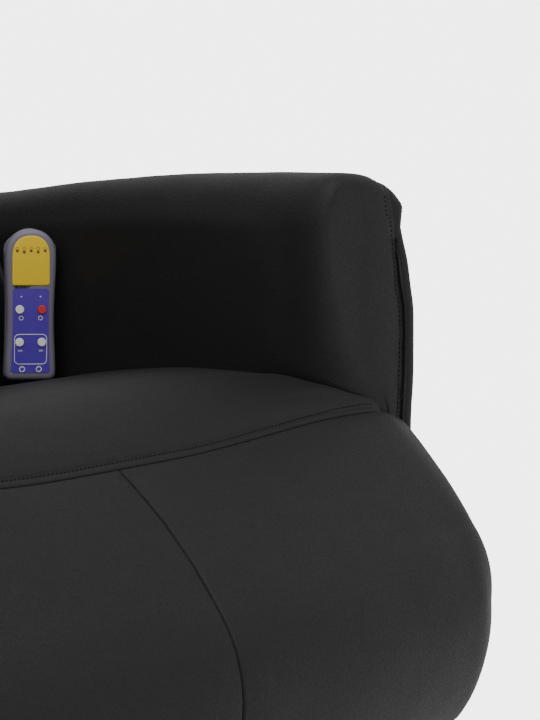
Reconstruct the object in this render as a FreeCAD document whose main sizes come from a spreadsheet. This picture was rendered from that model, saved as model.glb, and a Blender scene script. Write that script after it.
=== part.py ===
import FreeCAD, Part
import math
import os
import re
import Sketcher

# Reclining massage armchair: padded arms, seat, backrest and leg rest, twin drive, hand control.
# X runs to the right seen from the front, Y runs to the back, Z is up. The origin is on the floor.

V = FreeCAD.Vector
RIGHT = V(1, 0, 0)
BACKWARD = V(0, 1, 0)
UP = V(0, 0, 1)
NEAR = 0.01

DRIVING = {
    # seat and arms
    "seat_width": 530,
    "arm_width": 112,
    "arm_front": 270,
    "arm_rear": 300,
    "arm_rise": 262,
    "arm_fall": 73,
    "arm_slope": 0.75,
    "arm_outer_round": 44,
    "arm_inner_round": 36,
    "arm_edge_round": 14,
    "panel_swell": 18,
    "panel_inset": 4,
    "panel_drop": 8,
    "panel_round": 16,
    "panel_roll": 34,
    # feet and base
    "foot_height": 70,
    "foot_top": 54,
    "foot_base": 40,
    "foot_reach": 215,
    "base_rail_thick": 22,
    "base_rail_tall": 90,
    "base_rail_reach": 262,
    # side frames and seat plates
    "frame_thick": 25,
    "frame_cover": 56,
    "frame_inset": 32,
    "plate_thick": 6,
    "plate_front": 262,
    "plate_rear": 222,
    "lug_round": 18,
    "lug_rim": 2,
    "lug_gap": 1,
    "lug_run": 40,
    "seat_plate_drop": 14,
    "rear_lug_run": 12,
    "rear_lug_low": 80,
    "rear_lug_neck": 20,
    "front_lug_low": 38,
    "plate_sill_rise": 30,
    "plate_head_drop": 70,
    "plate_head_step": 30,
    "plate_head_fall": 15,
    "plate_window_edge": 62,
    "plate_window_rear": 92,
    "plate_post_front": 75,
    "plate_post_rear": 30,
    "frame_corner": 30,
    "frame_sill": 150,
    "frame_head": 50,
    "frame_window_edge": 58,
    "frame_post_front": 20,
    "frame_post_rear": 40,
    "bolt_rise": 65,
    "bolt_front": 222,
    "bolt_middle": 52,
    "bolt_rear": 165,
    "bolt_wide": 8,
    "bolt_head": 13,
    "bolt_head_high": 5,
    # pivots
    "leg_pivot_ahead": 300,
    "leg_lift": 45,
    "back_pivot_behind": 185,
    "back_pivot_height": 385,
    "pivot_rise": 30,
    "back_lean": 18,
    "back_drop": 35,
    "tube_wide": 22,
    "tube_wall": 2,
    "pivot_bolt": 10,
    "bush_long": 20,
    "bush_play": 0.1,
    "tube_gap": 1,
    # seat
    "seat_under_drop": 23,
    "seat_pitch": 8.5,
    "seat_crest_rise": 82,
    "seat_rear_rise": 30,
    "seat_side_drop": 12,
    "seat_play": 0.5,
    "seat_tube_wide": 25,
    "seat_tube_wall": 1.5,
    "strap_wide": 60,
    "strap_thick": 3,
    "strap_step": 96,
    "strap_gap": 0.3,
    "seat_tube_inset": 28,
    "rear_tube_inset": 32,
    "lip_back": 19,
    "lip_rise": 8,
    "lip_swell": 12,
    "crest_ahead": 205,
    "crown_swell": 9,
    "seat_shoulder": 24,
    # knuckle between seat and leg rest
    "knuckle": 28,
    "knuckle_gap": 1,
    # leg rest
    "leg_half": 386,
    "leg_corner": 60,
    "leg_bow": 40,
    "leg_reach": 462,
    "leg_mid_reach": 418,
    "leg_mid_drop": 53,
    "leg_nose_drop": 130,
    "leg_long": 243,
    "leg_heel_reach": 425,
    "leg_slope": 29,
    "leg_thigh_swell": 5,
    "leg_shin_swell": 9,
    "leg_toe_swell": 12,
    "leg_flank": 40,
    "leg_board_thick": 15,
    "leg_board_lift": 18,
    "leg_board_half": 345,
    "leg_board_head": 44,
    "leg_board_corner": 20,
    "leg_board_sink": 13,
    "leg_bracket_thick": 6,
    "leg_bracket_deep": 12,
    "leg_bracket_low": 50,
    "leg_bracket_neck": 30,
    "leg_bracket_round": 14,
    "leg_bracket_place": 232,
    # cranks, carriages and drive
    "crank_arm": 110,
    "crank_thick": 8,
    "crank_hub": 17,
    "crank_pin": 12,
    "crank_pin_long": 30,
    "pin_play": 0.8,
    "carriage_wide": 28,
    "carriage_bar": 20,
    "carriage_gap": 0.3,
    "fork_reach": 13,
    "crank_side_gap": 0.7,
    "fork_floor": 1,
    "fork_web": 6,
    "fork_foot": 9,
    "fork_rise": 16,
    "fork_room": 3,
    "fork_slot_deep": 12,
    "fork_slot_gap": 16,
    "lug_slot_gap": 1.5,
    "lug_slot_drop": 42,
    "drive_half": 42,
    "drive_front": 210,
    "drive_rear": 96,
    "drive_under": 47,
    "drive_over": 24,
    "drive_round": 6,
    "motor_wide": 52,
    "motor_long": 92,
    "motor_neck": 18,
    "motor_neck_step": 6,
    "motor_cap_step": 3,
    "motor_rise": 4,
    "leg_bar_long": 90,
    "back_bar_long": 36,
    "leg_motor_ahead": 150,
    "back_motor_behind": 40,
    "drive_bar_wide": 40,
    "drive_bar_high": 20,
    "drive_bar_wall": 1.5,
    "drive_bar_front": 165,
    "drive_bar_rear": 60,
    # control box and inlet
    "box_wide": 110,
    "box_deep": 90,
    "box_high": 34,
    "box_wall": 2.5,
    "box_place": 120,
    "box_corner": 4,
    "box_boss": 6,
    "box_screw_side": 5,
    "box_screw_end": 12,
    "lid_thick": 3,
    "screw_wide": 4,
    "inlet_wide": 24,
    "inlet_bore": 9,
    "inlet_deep": 8,
    "inlet_place": 180,
    "inlet_rise": 45,
    # backrest
    "back_half": 258,
    "back_high": 622,
    "back_front": 45,
    "pillow_swell": 36,
    "lumbar_low": 40,
    "shoulder_step": 4,
    "lumbar_top": 222,
    "shoulder_top": 412,
    "back_rear": 91,
    "back_side_pull": 26,
    "back_top_edge": 30,
    "head_back": 46,
    "crown_back": 18,
    "back_panel_thick": 13,
    "back_panel_half": 246,
    "back_panel_low": 62,
    "back_panel_head": 48,
    "back_panel_corner": 30,
    "post_wide": 30,
    "post_deep": 36,
    "post_place": 218,
    "post_front": 40,
    "post_low": 60,
    "post_top": 585,
    "rail_high": 40,
    "rail_thick": 20,
    "rail_sink": 6,
    "rail_rise": 8,
    "back_strap_wide": 50,
    "back_strap_step": 78,
    "back_strap_start": 55,
    "back_plate_thick": 5,
    "back_plate_rim": 3,
    "back_plate_neck": 20,
    "back_plate_heel": 14,
    "back_plate_edge": 4,
    "back_lug_room": 60,
    "back_plate_top": 170,
    # vibration motors
    "cup_wide": 72,
    "cup_high": 30,
    "cup_wall": 3,
    "can_wide": 24,
    "can_long": 30,
    "can_gap": 0.3,
    "can_ahead": 6,
    "shaft_wide": 3,
    "shaft_long": 21,
    "shaft_sunk": 4,
    "shaft_end_gap": 1,
    "shaft_play": 0.1,
    "weight_ahead": 8,
    "weight_wide": 19,
    "weight_long": 8,
    "seat_motor_place": 110,
    "seat_motor_behind": 60,
    "lumbar_motor_height": 130,
    "shoulder_motor_height": 320,
    # hand control
    "control_wide": 52,
    "control_high": 152,
    "control_deep": 22,
    "control_waist": 1.5,
    "control_shoulder": 22,
    "control_rise": 8,
    "control_corner": 7,
    "control_edge": 3.5,
    "control_wall": 2.2,
    "control_turn": 32,
    "control_roll": 1.5,
    "control_tilt": 3,
    "control_across": 229,
    "control_behind": 115,
    "control_rest": 0.3,
    "panel_margin": 6.5,
    "panel_thick": 1,
    "panel_corner": 3,
    "upper_panel_low": 96,
    "upper_panel_high": 146,
    "lower_panel_low": 8,
    "lower_panel_high": 93,
    "button_wide": 8.6,
    "button_hole_gap": 0.3,
    "button_column": 11.2,
    "power_row": 72,
    "function_row": 39,
    "button_proud": 1.6,
    "button_travel": 0.8,
    "button_edge": 0.7,
    "button_stem": 2,
    "button_flange": 11,
    "flange_thick": 1,
    "flange_gap": 0.2,
    "light_wide": 3,
    "light_row": 131,
    "light_step": 7,
    "light_drop": 1.2,
    "light_proud": 0.3,
    "light_sunk": 1.2,
    "board_thick": 1.6,
    "board_deep": 3,
    "control_screw": 2.4,
    "control_screw_head": 4.6,
    "control_head_deep": 1.4,
    "control_head_thick": 1,
    "control_screw_grip": 5,
    "control_screw_end_gap": 1,
    "control_screw_place": 17,
    "control_screw_low": 20,
    "control_screw_high": 118,
    "control_post": 3,
    "board_gap": 0.3,
}

DERIVED = {
    "leg_pivot_height": "back_pivot_height + pivot_rise",
    "carriage_floor": "back_pivot_height - crank_arm - crank_pin / 2 - fork_floor - fork_web",
    "drive_low": "carriage_floor - drive_under",
    "drive_high": "carriage_floor + drive_over",
    "base_rail_high": "drive_low - drive_bar_high",
    "base_rail_low": "base_rail_high - base_rail_tall",
    "inlet_height": "base_rail_low + inlet_rise",
    "bolt_height": "base_rail_high + bolt_rise",
    "plate_sill": "base_rail_high + plate_sill_rise",
    "plate_head_front": "leg_pivot_height - plate_head_drop",
    "plate_head_middle": "plate_head_front - plate_head_step",
    "plate_head_rear": "plate_head_middle - plate_head_fall",
    "seat_under_front": "leg_pivot_height - seat_under_drop",
    "seat_crest": "leg_pivot_height + seat_crest_rise",
    "seat_rear_top": "leg_pivot_height + seat_rear_rise",
    "leg_mid_height": "leg_pivot_height - leg_mid_drop",
    "leg_nose_height": "leg_pivot_height - leg_nose_drop",
    "leg_low": "leg_pivot_height - leg_long",
    "leg_board_low": "leg_low + leg_board_lift",
    "arm_front_height": "leg_pivot_height + arm_rise",
    "arm_rear_height": "arm_front_height - arm_fall",
    "seat_half": "seat_width / 2",
    "arm_side": "seat_half + arm_width",
    "frame_side": "seat_half + arm_width / 2 - frame_thick / 2",
    "plate_side": "seat_half - plate_thick",
    "plate_low": "base_rail_high",
    "leg_pin_back": "crank_arm * sin(leg_lift / 2)",
    "leg_pin_drop": "crank_arm * cos(leg_lift / 2)",
    "back_pin_back": "crank_arm * sin(back_drop / 2)",
    "back_pin_drop": "crank_arm * cos(back_drop / 2)",
    "seat_rear": "back_pivot_behind - back_front - seat_play",
    "bush_inner": "plate_side - tube_gap - bush_long",
    "tube_half": "plate_side - tube_gap",
    "seat_tube_front": "plate_front - seat_tube_inset",
    "seat_tube_rear": "seat_rear - rear_tube_inset",
    "seat_tube_front_height": "seat_under_front - (plate_front - seat_tube_front) * tan(seat_pitch)"
                              " - (strap_thick + seat_tube_wide / 2 + strap_gap) / cos(seat_pitch)",
    "seat_tube_rear_height": "seat_under_front - (plate_front + seat_tube_rear) * tan(seat_pitch)"
                             " - (strap_thick + seat_tube_wide / 2 + strap_gap) / cos(seat_pitch)",
    "seat_under_rear": "seat_under_front - (plate_front + seat_rear) * tan(seat_pitch)",
    "control_half": "control_wide / 2",
    "control_front": "control_deep / 2",
}


def fill_sheet(doc):
    """Writes the driving sizes and the sizes worked out from them into one spreadsheet."""
    sheet = doc.addObject("Spreadsheet::Sheet", "sizes")
    row = 1
    for alias, value in DRIVING.items():
        sheet.set(f"A{row}", alias.replace("_", " "))
        sheet.set(f"B{row}", str(value))
        sheet.setAlias(f"B{row}", alias)
        row += 1
    for alias, formula in DERIVED.items():
        sheet.set(f"A{row}", alias.replace("_", " "))
        sheet.set(f"B{row}", "=" + formula)
        sheet.setAlias(f"B{row}", alias)
        row += 1
    doc.recompute()
    return sheet


doc = FreeCAD.newDocument("recliner")
sheet = fill_sheet(doc)


def mm(alias):
    """Reads one size from the spreadsheet."""
    return float(sheet.get(alias))


def bind(formula):
    """Turns a formula of size names into an expression on the spreadsheet."""
    def name(match):
        word = match.group()
        known = word in DRIVING or word in DERIVED
        return "sizes." + word if known else word
    return re.sub(r"[a-z][a-z_]*", name, str(formula))


# Helpers for bodies with sketches

PLANES = {"XY": "XY_Plane", "XZ": "XZ_Plane", "YZ": "YZ_Plane"}


def new_body(label):
    body = doc.addObject("PartDesign::Body", label)
    body.Label = label
    return body


def new_sketch(body, plane, name, offset="0"):
    """Adds a sketch on one of the body's own origin planes, moved along the plane's normal."""
    sketch = body.newObject("Sketcher::SketchObject", name)
    role = PLANES[plane]
    support = [item for item in body.Origin.OriginFeatures if item.Role == role]
    sketch.AttachmentSupport = [(support[0], "")]
    sketch.MapMode = "FlatFace"
    sketch.setExpression("AttachmentOffset.Base.z", bind(offset))
    return sketch


def add_outline(sketch, corners):
    """Draws a closed outline whose corners are bound to formulas, and returns its first line's number."""
    count = len(corners)
    first = sketch.GeometryCount
    ring = [V(10 * math.cos(2 * math.pi * k / count), 10 * math.sin(2 * math.pi * k / count), 0)
            for k in range(count)]
    for k in range(count):
        sketch.addGeometry(Part.LineSegment(ring[k], ring[(k + 1) % count]))
    for k in range(count):
        sketch.addConstraint(Sketcher.Constraint("Coincident", first + k, 2, first + (k + 1) % count, 1))
    for k, (across, along) in enumerate(corners):
        for kind, place, formula in (("DistanceX", ring[k].x, across), ("DistanceY", ring[k].y, along)):
            number = sketch.addConstraint(Sketcher.Constraint(kind, -1, 1, first + k, 1, place))
            sketch.setExpression(f"Constraints[{number}]", bind(formula))
    return first


def add_circle(sketch, across, along, radius):
    """Draws a circle whose centre and radius are bound to formulas."""
    number = sketch.addGeometry(Part.Circle(V(1, 1, 0), V(0, 0, 1), 1))
    for kind, formula in (("DistanceX", across), ("DistanceY", along)):
        constraint = sketch.addConstraint(Sketcher.Constraint(kind, -1, 1, number, 3, 1))
        sketch.setExpression(f"Constraints[{constraint}]", bind(formula))
    constraint = sketch.addConstraint(Sketcher.Constraint("Radius", number, 1))
    sketch.setExpression(f"Constraints[{constraint}]", bind(radius))


def add_pad(body, sketch, length, midplane=False):
    pad = body.newObject("PartDesign::Pad", sketch.Name + "_pad")
    pad.Profile = sketch
    pad.Midplane = midplane
    pad.setExpression("Length", bind(length))
    doc.recompute()
    return pad


def add_pocket(body, sketch, length, midplane=True):
    """Cuts a sketch through the body, half to each side of the sketch's plane."""
    before = body.Shape.Volume
    pocket = body.newObject("PartDesign::Pocket", sketch.Name + "_pocket")
    pocket.Profile = sketch
    pocket.Midplane = midplane
    pocket.setExpression("Length", bind(length))
    doc.recompute()
    assert body.Shape.Volume < before, sketch.Name + " cuts nothing"
    return pocket


def flat(point, plane):
    """Gives a point's place in the coordinates of a sketch on the plane."""
    if plane == "XY":
        return point.x, point.y
    if plane == "XZ":
        return point.x, point.z
    return point.y, point.z


def round_corners(body, plane, sketch, first, corners, radius):
    """Rounds the edges that rise from the named corners of an outline."""
    tip = body.Tip
    places = [flat(sketch.Geometry[first + k].StartPoint, "XY") for k in corners]
    names = []
    for number, edge in enumerate(tip.Shape.Edges, 1):
        ends = [flat(vertex.Point, plane) for vertex in edge.Vertexes]
        if len(ends) < 2 or math.dist(ends[0], ends[1]) > 0.01:
            continue
        if any(math.dist(ends[0], place) < 0.01 for place in places):
            names.append(f"Edge{number}")
    fillet = body.newObject("PartDesign::Fillet", body.Name + f"_round_{first}_{corners[0]}")
    fillet.Base = (tip, names)
    fillet.setExpression("Radius", bind(radius))
    doc.recompute()
    return fillet


# Helpers for primitives

def set_place(piece, place, axis=None, angle=None):
    """Binds a piece's place, and its turn about an axis, to formulas."""
    if axis is not None:
        piece.Placement = FreeCAD.Placement(V(0, 0, 0), FreeCAD.Rotation(axis, 10))
        piece.setExpression("Placement.Rotation.Angle", bind(angle))
    for letter, formula in zip("xyz", place):
        piece.setExpression(f"Placement.Base.{letter}", bind(formula))


def add_box(name, size, place, axis=None, angle=None):
    box = doc.addObject("Part::Box", name)
    for side, formula in zip(("Length", "Width", "Height"), size):
        box.setExpression(side, bind(formula))
    set_place(box, place, axis, angle)
    return box


def add_rod(name, radius, length, place, axis=None, angle="90"):
    """Adds a cylinder that starts at its place and points up, or along the way that the turn gives."""
    rod = doc.addObject("Part::Cylinder", name)
    rod.setExpression("Radius", bind(radius))
    rod.setExpression("Height", bind(length))
    set_place(rod, place, axis, angle)
    return rod


def add_cut(name, base, tool):
    cut = doc.addObject("Part::Cut", name)
    cut.Base = base
    cut.Tool = tool
    cut.Label = name
    return cut


def add_group(name, pieces):
    """Keeps identical pieces together as separate solids under one label."""
    group = doc.addObject("Part::Compound", name)
    group.Links = pieces
    group.Label = name
    return group


def add_shape(name, shape):
    """Adds a piece whose form is worked out with Part's own functions."""
    piece = doc.addObject("Part::Feature", name)
    piece.Label = name
    piece.Shape = shape
    return piece


def add_tube(name, radius, wall, half, height, reach):
    """Adds a tube that lies across the chair, centred on its middle plane."""
    place = (f"-({half})", reach, height)
    outer = add_rod(name + "_outer", radius, f"({half}) * 2", place, BACKWARD)
    inner = add_rod(name + "_bore", f"{radius} - {wall}", f"({half}) * 2", place, BACKWARD)
    return add_cut(name, outer, inner)


def on_back(across, forward, upward):
    """Gives the formulas of a place that is measured along the leaning backrest, from its pivot."""
    reach = f"back_pivot_behind + ({forward}) * cos(back_lean) + ({upward}) * sin(back_lean)"
    height = f"back_pivot_height - ({forward}) * sin(back_lean) + ({upward}) * cos(back_lean)"
    return across, reach, height


def back_placement():
    """Gives the leaning frame in which the backrest's forms are drawn."""
    place = V(0, mm("back_pivot_behind"), mm("back_pivot_height"))
    return FreeCAD.Placement(place, FreeCAD.Rotation(RIGHT, -mm("back_lean")))


# Helpers for soft forms

def polar(centre, radius, degrees):
    """Gives the point at an angle about a centre, as a pair of plane coordinates."""
    turn = math.radians(degrees)
    return centre[0] + radius * math.cos(turn), centre[1] + radius * math.sin(turn)


def bulged(start, end, swell):
    """Gives the middle of an arc that swells to the left of the way from start to end."""
    across, along = end[0] - start[0], end[1] - start[1]
    long = math.hypot(across, along)
    return (start[0] + end[0]) / 2 - along * swell / long, (start[1] + end[1]) / 2 + across * swell / long


def wire_at(place, runs):
    """Joins lines and arcs into a closed wire. A run is its start and, for an arc, its middle."""
    edges = []
    for k, (start, middle) in enumerate(runs):
        end = runs[(k + 1) % len(runs)][0]
        if middle is None:
            edges.append(Part.makeLine(place(*start), place(*end)))
        else:
            edges.append(Part.Arc(place(*start), place(*middle), place(*end)).toShape())
    return Part.Wire(edges)


NICK = 1 - math.sqrt(0.5)


def rounded(corners, turn):
    """Gives the runs of an outline whose corners are rounded off."""
    runs = []
    for k, corner in enumerate(corners):
        ways = []
        for other in (corners[k - 1], corners[(k + 1) % len(corners)]):
            long = math.dist(corner, other)
            ways.append(((other[0] - corner[0]) / long, (other[1] - corner[1]) / long))
        start, end = [(corner[0] + turn * way[0], corner[1] + turn * way[1]) for way in ways]
        middle = [corner[axis] + NICK * turn * (ways[0][axis] + ways[1][axis]) for axis in (0, 1)]
        runs += [(start, tuple(middle)), (end, None)]
    return runs


def loft(wires, ruled=False):
    return Part.makeLoft(wires, True, ruled)


def rolled(edge, steps=4):
    """Gives the places and insets of the sections that roll over a padded edge, from its rim inwards."""
    turns = [math.radians(90 * k / steps) for k in range(steps + 1)]
    return [(edge * (1 - math.sin(turn)), edge * (1 - math.cos(turn))) for turn in reversed(turns)]


def cylinder(radius, length, start, way):
    return Part.makeCylinder(radius, length, start, way)


# Base and side frames

def make_feet():
    feet = []
    side = "seat_half + arm_width / 2"
    for column in ("-1", "1"):
        for row in ("-1", "1"):
            foot = doc.addObject("Part::Cone", f"foot_{len(feet) + 1}")
            foot.setExpression("Radius1", bind("foot_base / 2"))
            foot.setExpression("Radius2", bind("foot_top / 2"))
            foot.setExpression("Height", bind("foot_height"))
            set_place(foot, (f"({side}) * {column}", f"foot_reach * {row}", "0"))
            feet.append(foot)
    return add_group("feet", feet)


def make_base_rails():
    size = ("seat_width", "base_rail_thick", "base_rail_high - base_rail_low")
    front = add_box("base_rail_1", size, ("-seat_half", "-base_rail_reach", "base_rail_low"))
    rear = add_box("base_rail_2", size, ("-seat_half", "base_rail_reach - base_rail_thick", "base_rail_low"))
    return add_group("base_rails", [front, rear])


BOLT_REACHES = ("-bolt_front", "-bolt_middle", "bolt_rear")


def add_window(sketch, front, rear, sill, front_head, rear_head):
    add_outline(sketch, [(front, sill), (rear, sill), (rear, rear_head), (front, front_head)])


def add_bolt_holes(sketch):
    for reach in BOLT_REACHES:
        add_circle(sketch, reach, "bolt_height", "bolt_wide / 2")


def make_side_frame(label, start):
    """Plywood frame inside an arm, with two windows and the bolt holes."""
    body = new_body(label)
    sketch = new_sketch(body, "YZ", label + "_outline", start)
    low = "foot_height"
    front, rear = "-arm_front + frame_inset", "arm_rear - frame_inset"
    first = add_outline(sketch, [
        (front, low),
        (rear, low),
        (rear, "arm_rear_height - frame_cover"),
        (front, "arm_front_height - frame_cover"),
    ])
    sill, head = "base_rail_high + frame_sill", "arm_rear_height - frame_cover - frame_head"
    add_window(sketch, f"{front} + frame_window_edge", "-frame_post_front", sill, head, head)
    add_window(sketch, "frame_post_rear", f"{rear} - frame_window_edge", sill, head, head)
    add_bolt_holes(sketch)
    add_pad(body, sketch, "frame_thick")
    round_corners(body, "YZ", sketch, first, [2, 3], "frame_corner")
    return body


def make_seat_plate(label, start):
    """Steel side plate that carries both pivots, with a lug at each end and two windows."""
    body = new_body(label)
    sketch = new_sketch(body, "YZ", label + "_outline", start)
    lug = "lug_round + lug_rim"
    first = add_outline(sketch, [
        ("-plate_front", "plate_low"),
        ("plate_rear", "plate_low"),
        ("plate_rear", "back_pivot_height - rear_lug_low"),
        (f"back_pivot_behind + {lug}", "back_pivot_height - rear_lug_neck"),
        (f"back_pivot_behind + {lug}", f"back_pivot_height + {lug}"),
        (f"back_pivot_behind - {lug}", f"back_pivot_height + {lug}"),
        (f"back_pivot_behind - {lug} - rear_lug_run", "seat_under_rear - seat_plate_drop"),
        ("-plate_front + lug_run", "seat_under_front - seat_plate_drop"),
        ("-plate_front", f"leg_pivot_height + {lug}"),
        (f"-leg_pivot_ahead - {lug}", f"leg_pivot_height + {lug}"),
        (f"-leg_pivot_ahead - {lug}", f"leg_pivot_height - {lug}"),
        ("-plate_front", "leg_pivot_height - front_lug_low"),
    ])
    add_window(sketch, "-plate_front + plate_window_edge", "-plate_post_front", "plate_sill",
               "plate_head_front", "plate_head_middle")
    add_window(sketch, "-plate_post_rear", "plate_rear - plate_window_rear", "plate_sill",
               "plate_head_middle", "plate_head_rear")
    add_circle(sketch, "-leg_pivot_ahead", "leg_pivot_height", "pivot_bolt / 2")
    add_circle(sketch, "back_pivot_behind", "back_pivot_height", "pivot_bolt / 2")
    add_bolt_holes(sketch)
    add_pad(body, sketch, "plate_thick")
    round_corners(body, "YZ", sketch, first, [4, 5, 9, 10], "lug_round")
    return body


def bolt_shape(side, reach):
    """A hexagon bolt from the plate's inner face through the arm's padding into its frame."""
    inner, height = mm("plate_side"), mm("bolt_height")
    outer = mm("frame_side") + mm("frame_thick")
    shank = cylinder(mm("bolt_wide") / 2, outer - inner, V(side * inner, reach, height), RIGHT * side)
    radius = mm("bolt_head") / 2 / math.cos(math.radians(30))
    start = side * inner
    corners = [V(start, *polar((reach, height), radius, 60 * k)) for k in range(7)]
    head = Part.Face(Part.makePolygon(corners)).extrude(RIGHT * (-side * mm("bolt_head_high")))
    return shank.fuse(head)


def make_frame_bolts():
    reaches = (-mm("bolt_front"), -mm("bolt_middle"), mm("bolt_rear"))
    bolts = [bolt_shape(side, reach) for side in (-1, 1) for reach in reaches]
    return add_shape("frame_bolts", Part.makeCompound(bolts))


def pivot_bolt_shape(side, reach, height):
    """A countersunk pivot bolt, flush with the plate's outer face and held in the tube's bush."""
    radius = mm("pivot_bolt") / 2
    outer, inner = mm("seat_half"), mm("bush_inner") + 1
    runs = [((inner, 0), None), ((outer, 0), None), ((outer, radius), None), ((inner, radius), None)]
    profile = Part.Face(wire_at(lambda across, out: V(side * across, reach, height + out), runs))
    return profile.revolve(V(0, reach, height), RIGHT, 360)


def make_pivot_bolts():
    places = [(-mm("leg_pivot_ahead"), mm("leg_pivot_height")), (mm("back_pivot_behind"), mm("back_pivot_height"))]
    bolts = [pivot_bolt_shape(side, reach, height) for side in (-1, 1) for reach, height in places]
    return add_shape("pivot_bolts", Part.makeCompound(bolts))


def make_seat_tubes():
    front = add_tube("seat_tube_1", "seat_tube_wide / 2", "seat_tube_wall", "plate_side",
                     "seat_tube_front_height", "-seat_tube_front")
    rear = add_tube("seat_tube_2", "seat_tube_wide / 2", "seat_tube_wall", "plate_side",
                    "seat_tube_rear_height", "seat_tube_rear")
    return add_group("seat_tubes", [front, rear])


def make_drive_bars():
    bars = []
    for number, reach in enumerate(("-drive_bar_front", "drive_bar_rear"), 1):
        low = "drive_low - drive_bar_high"
        front = f"{reach} - drive_bar_wide / 2"
        outer_size = ("plate_side * 2", "drive_bar_wide", "drive_bar_high")
        bore_size = ("plate_side * 2", "drive_bar_wide - drive_bar_wall * 2", "drive_bar_high - drive_bar_wall * 2")
        outer = add_box(f"drive_bar_{number}_outer", outer_size, ("-plate_side", front, low))
        inner = add_box(f"drive_bar_{number}_bore", bore_size,
                        ("-plate_side", f"{front} + drive_bar_wall", f"{low} + drive_bar_wall"))
        bars.append(add_cut(f"drive_bar_{number}", outer, inner))
    return add_group("drive_bars", bars)


def make_seat_webbing():
    """Elastic straps from the front seat tube to the rear one, under the cushion."""
    straps = []
    long = "(seat_tube_front + seat_tube_rear) / cos(seat_pitch)"
    drop = "strap_thick / cos(seat_pitch) + strap_gap"
    height = f"seat_under_front - (plate_front - seat_tube_front) * tan(seat_pitch) - ({drop})"
    for k in range(-2, 3):
        place = (f"strap_step * {k} - strap_wide / 2", "-seat_tube_front", height)
        size = ("strap_wide", long, "strap_thick")
        straps.append(add_box(f"seat_strap_{k + 3}", size, place, RIGHT, "-seat_pitch"))
    return add_group("seat_webbing", straps)


# Arms

def arm_section(side, reach, inset, height):
    """One upright section of an arm: straight sides, rounded shoulders and a low crown on top."""
    inner = mm("seat_half") + inset
    outer = mm("arm_side") - inset
    low = mm("foot_height") + inset
    top = height - inset
    inner_round = mm("arm_inner_round") - inset
    outer_round = mm("arm_outer_round") - inset
    slope = 5
    start = (inner, top - inner_round - slope)
    inner_top = (inner + inner_round, top - slope * 0.3)
    outer_top = (outer - outer_round, top - slope)
    end = (outer, top - outer_round - slope * 2)
    inner_middle = polar((inner + inner_round, top - inner_round - slope * 0.6), inner_round, 135)
    outer_middle = polar((outer - outer_round, top - outer_round - slope * 1.5), outer_round, 45)
    runs = [((inner, low), None), (start, inner_middle), (inner_top, bulged(inner_top, outer_top, 1.5)),
            (outer_top, outer_middle), (end, None), ((outer, low), None)]
    return wire_at(lambda across, up: V(side * across, reach, up), runs)


def arm_height(reach):
    """Height of the arm's top, which falls a little faster towards the back."""
    front, rear = -mm("arm_front"), mm("arm_rear")
    share = (reach - front) / (rear - front)
    slope = mm("arm_slope")
    return mm("arm_front_height") - mm("arm_fall") * (slope * share + (1 - slope) * share * share)


def make_arm(label, side, hidden):
    """Padded arm with its slots for the frame, the bolts and nothing else."""
    front, rear = -mm("arm_front"), mm("arm_rear")
    edge = mm("arm_edge_round")
    places = [(front + step, inset) for step, inset in rolled(edge)]
    places += [((front + rear) / 2, 0)]
    places += [(rear - step, inset) for step, inset in reversed(rolled(edge))]
    wires = [arm_section(side, reach, inset, arm_height(reach)) for reach, inset in places]
    return add_shape(label, loft(wires, True).cut([piece.Shape for piece in hidden]))


def panel_wire(side, out, inset):
    """Side outline of the outer arm panel, smaller as it stands further out."""
    margin = mm("panel_inset") + inset
    front, rear = -mm("arm_front") + margin, mm("arm_rear") - margin
    low = mm("foot_height") + margin
    head = mm("arm_outer_round") + mm("panel_drop") + margin
    front_top, rear_top = arm_height(front) - head, arm_height(rear) - head
    runs = rounded([(front, low), (rear, low), (rear, rear_top), (front, front_top)], mm("panel_round"))
    return wire_at(lambda along, up: V(side * (mm("arm_side") + out), along, up), runs)


def make_arm_panel(label, side):
    swell = mm("panel_swell")
    turns = [math.radians(angle) for angle in (0, 25, 45, 65, 90)]
    wires = [panel_wire(side, swell * math.sin(turn), mm("panel_roll") * (1 - math.cos(turn))) for turn in turns]
    return add_shape(label, loft(wires, True))


# Seat cushion

def seat_section(across):
    """Side profile of the seat cushion: pitched top, rolled front, and a hollow round the leg rest's knuckle."""
    half = mm("seat_half") - mm("seat_play")
    share = abs(across) / half
    drop = mm("seat_side_drop") * share ** 2.5
    pivot = (-mm("leg_pivot_ahead"), mm("leg_pivot_height"))
    clear = mm("knuckle") + mm("knuckle_gap")
    open_angle = 90 + mm("leg_slope") - mm("leg_lift")
    lip_foot = polar(pivot, clear, open_angle)
    lip = (lip_foot[0] - mm("lip_back"), lip_foot[1] + mm("lip_rise"))
    heel = (pivot[0] + clear, pivot[1])
    pitch = math.tan(math.radians(mm("seat_pitch")))
    low_front = (heel[0], mm("seat_under_front") - (mm("plate_front") + heel[0]) * pitch)
    rear, shoulder = mm("seat_rear"), mm("seat_shoulder")
    low_rear = (rear, mm("seat_under_rear"))
    rear_top = (rear, mm("seat_rear_top") - shoulder - drop)
    rear_shoulder = (rear - shoulder, mm("seat_rear_top") - drop)
    crest = (-mm("crest_ahead"), mm("seat_crest") - drop)
    runs = [(low_rear, None), (rear_top, (rear - shoulder * NICK, rear_top[1] + shoulder * (1 - NICK))),
            (rear_shoulder, bulged(crest, rear_shoulder, mm("crown_swell"))),
            (crest, bulged(lip, crest, mm("lip_swell"))),
            (lip, None), (lip_foot, polar(pivot, clear, open_angle / 2)),
            (heel, None), (low_front, None)]
    return wire_at(lambda along, up: V(across, along, up), runs)


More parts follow.
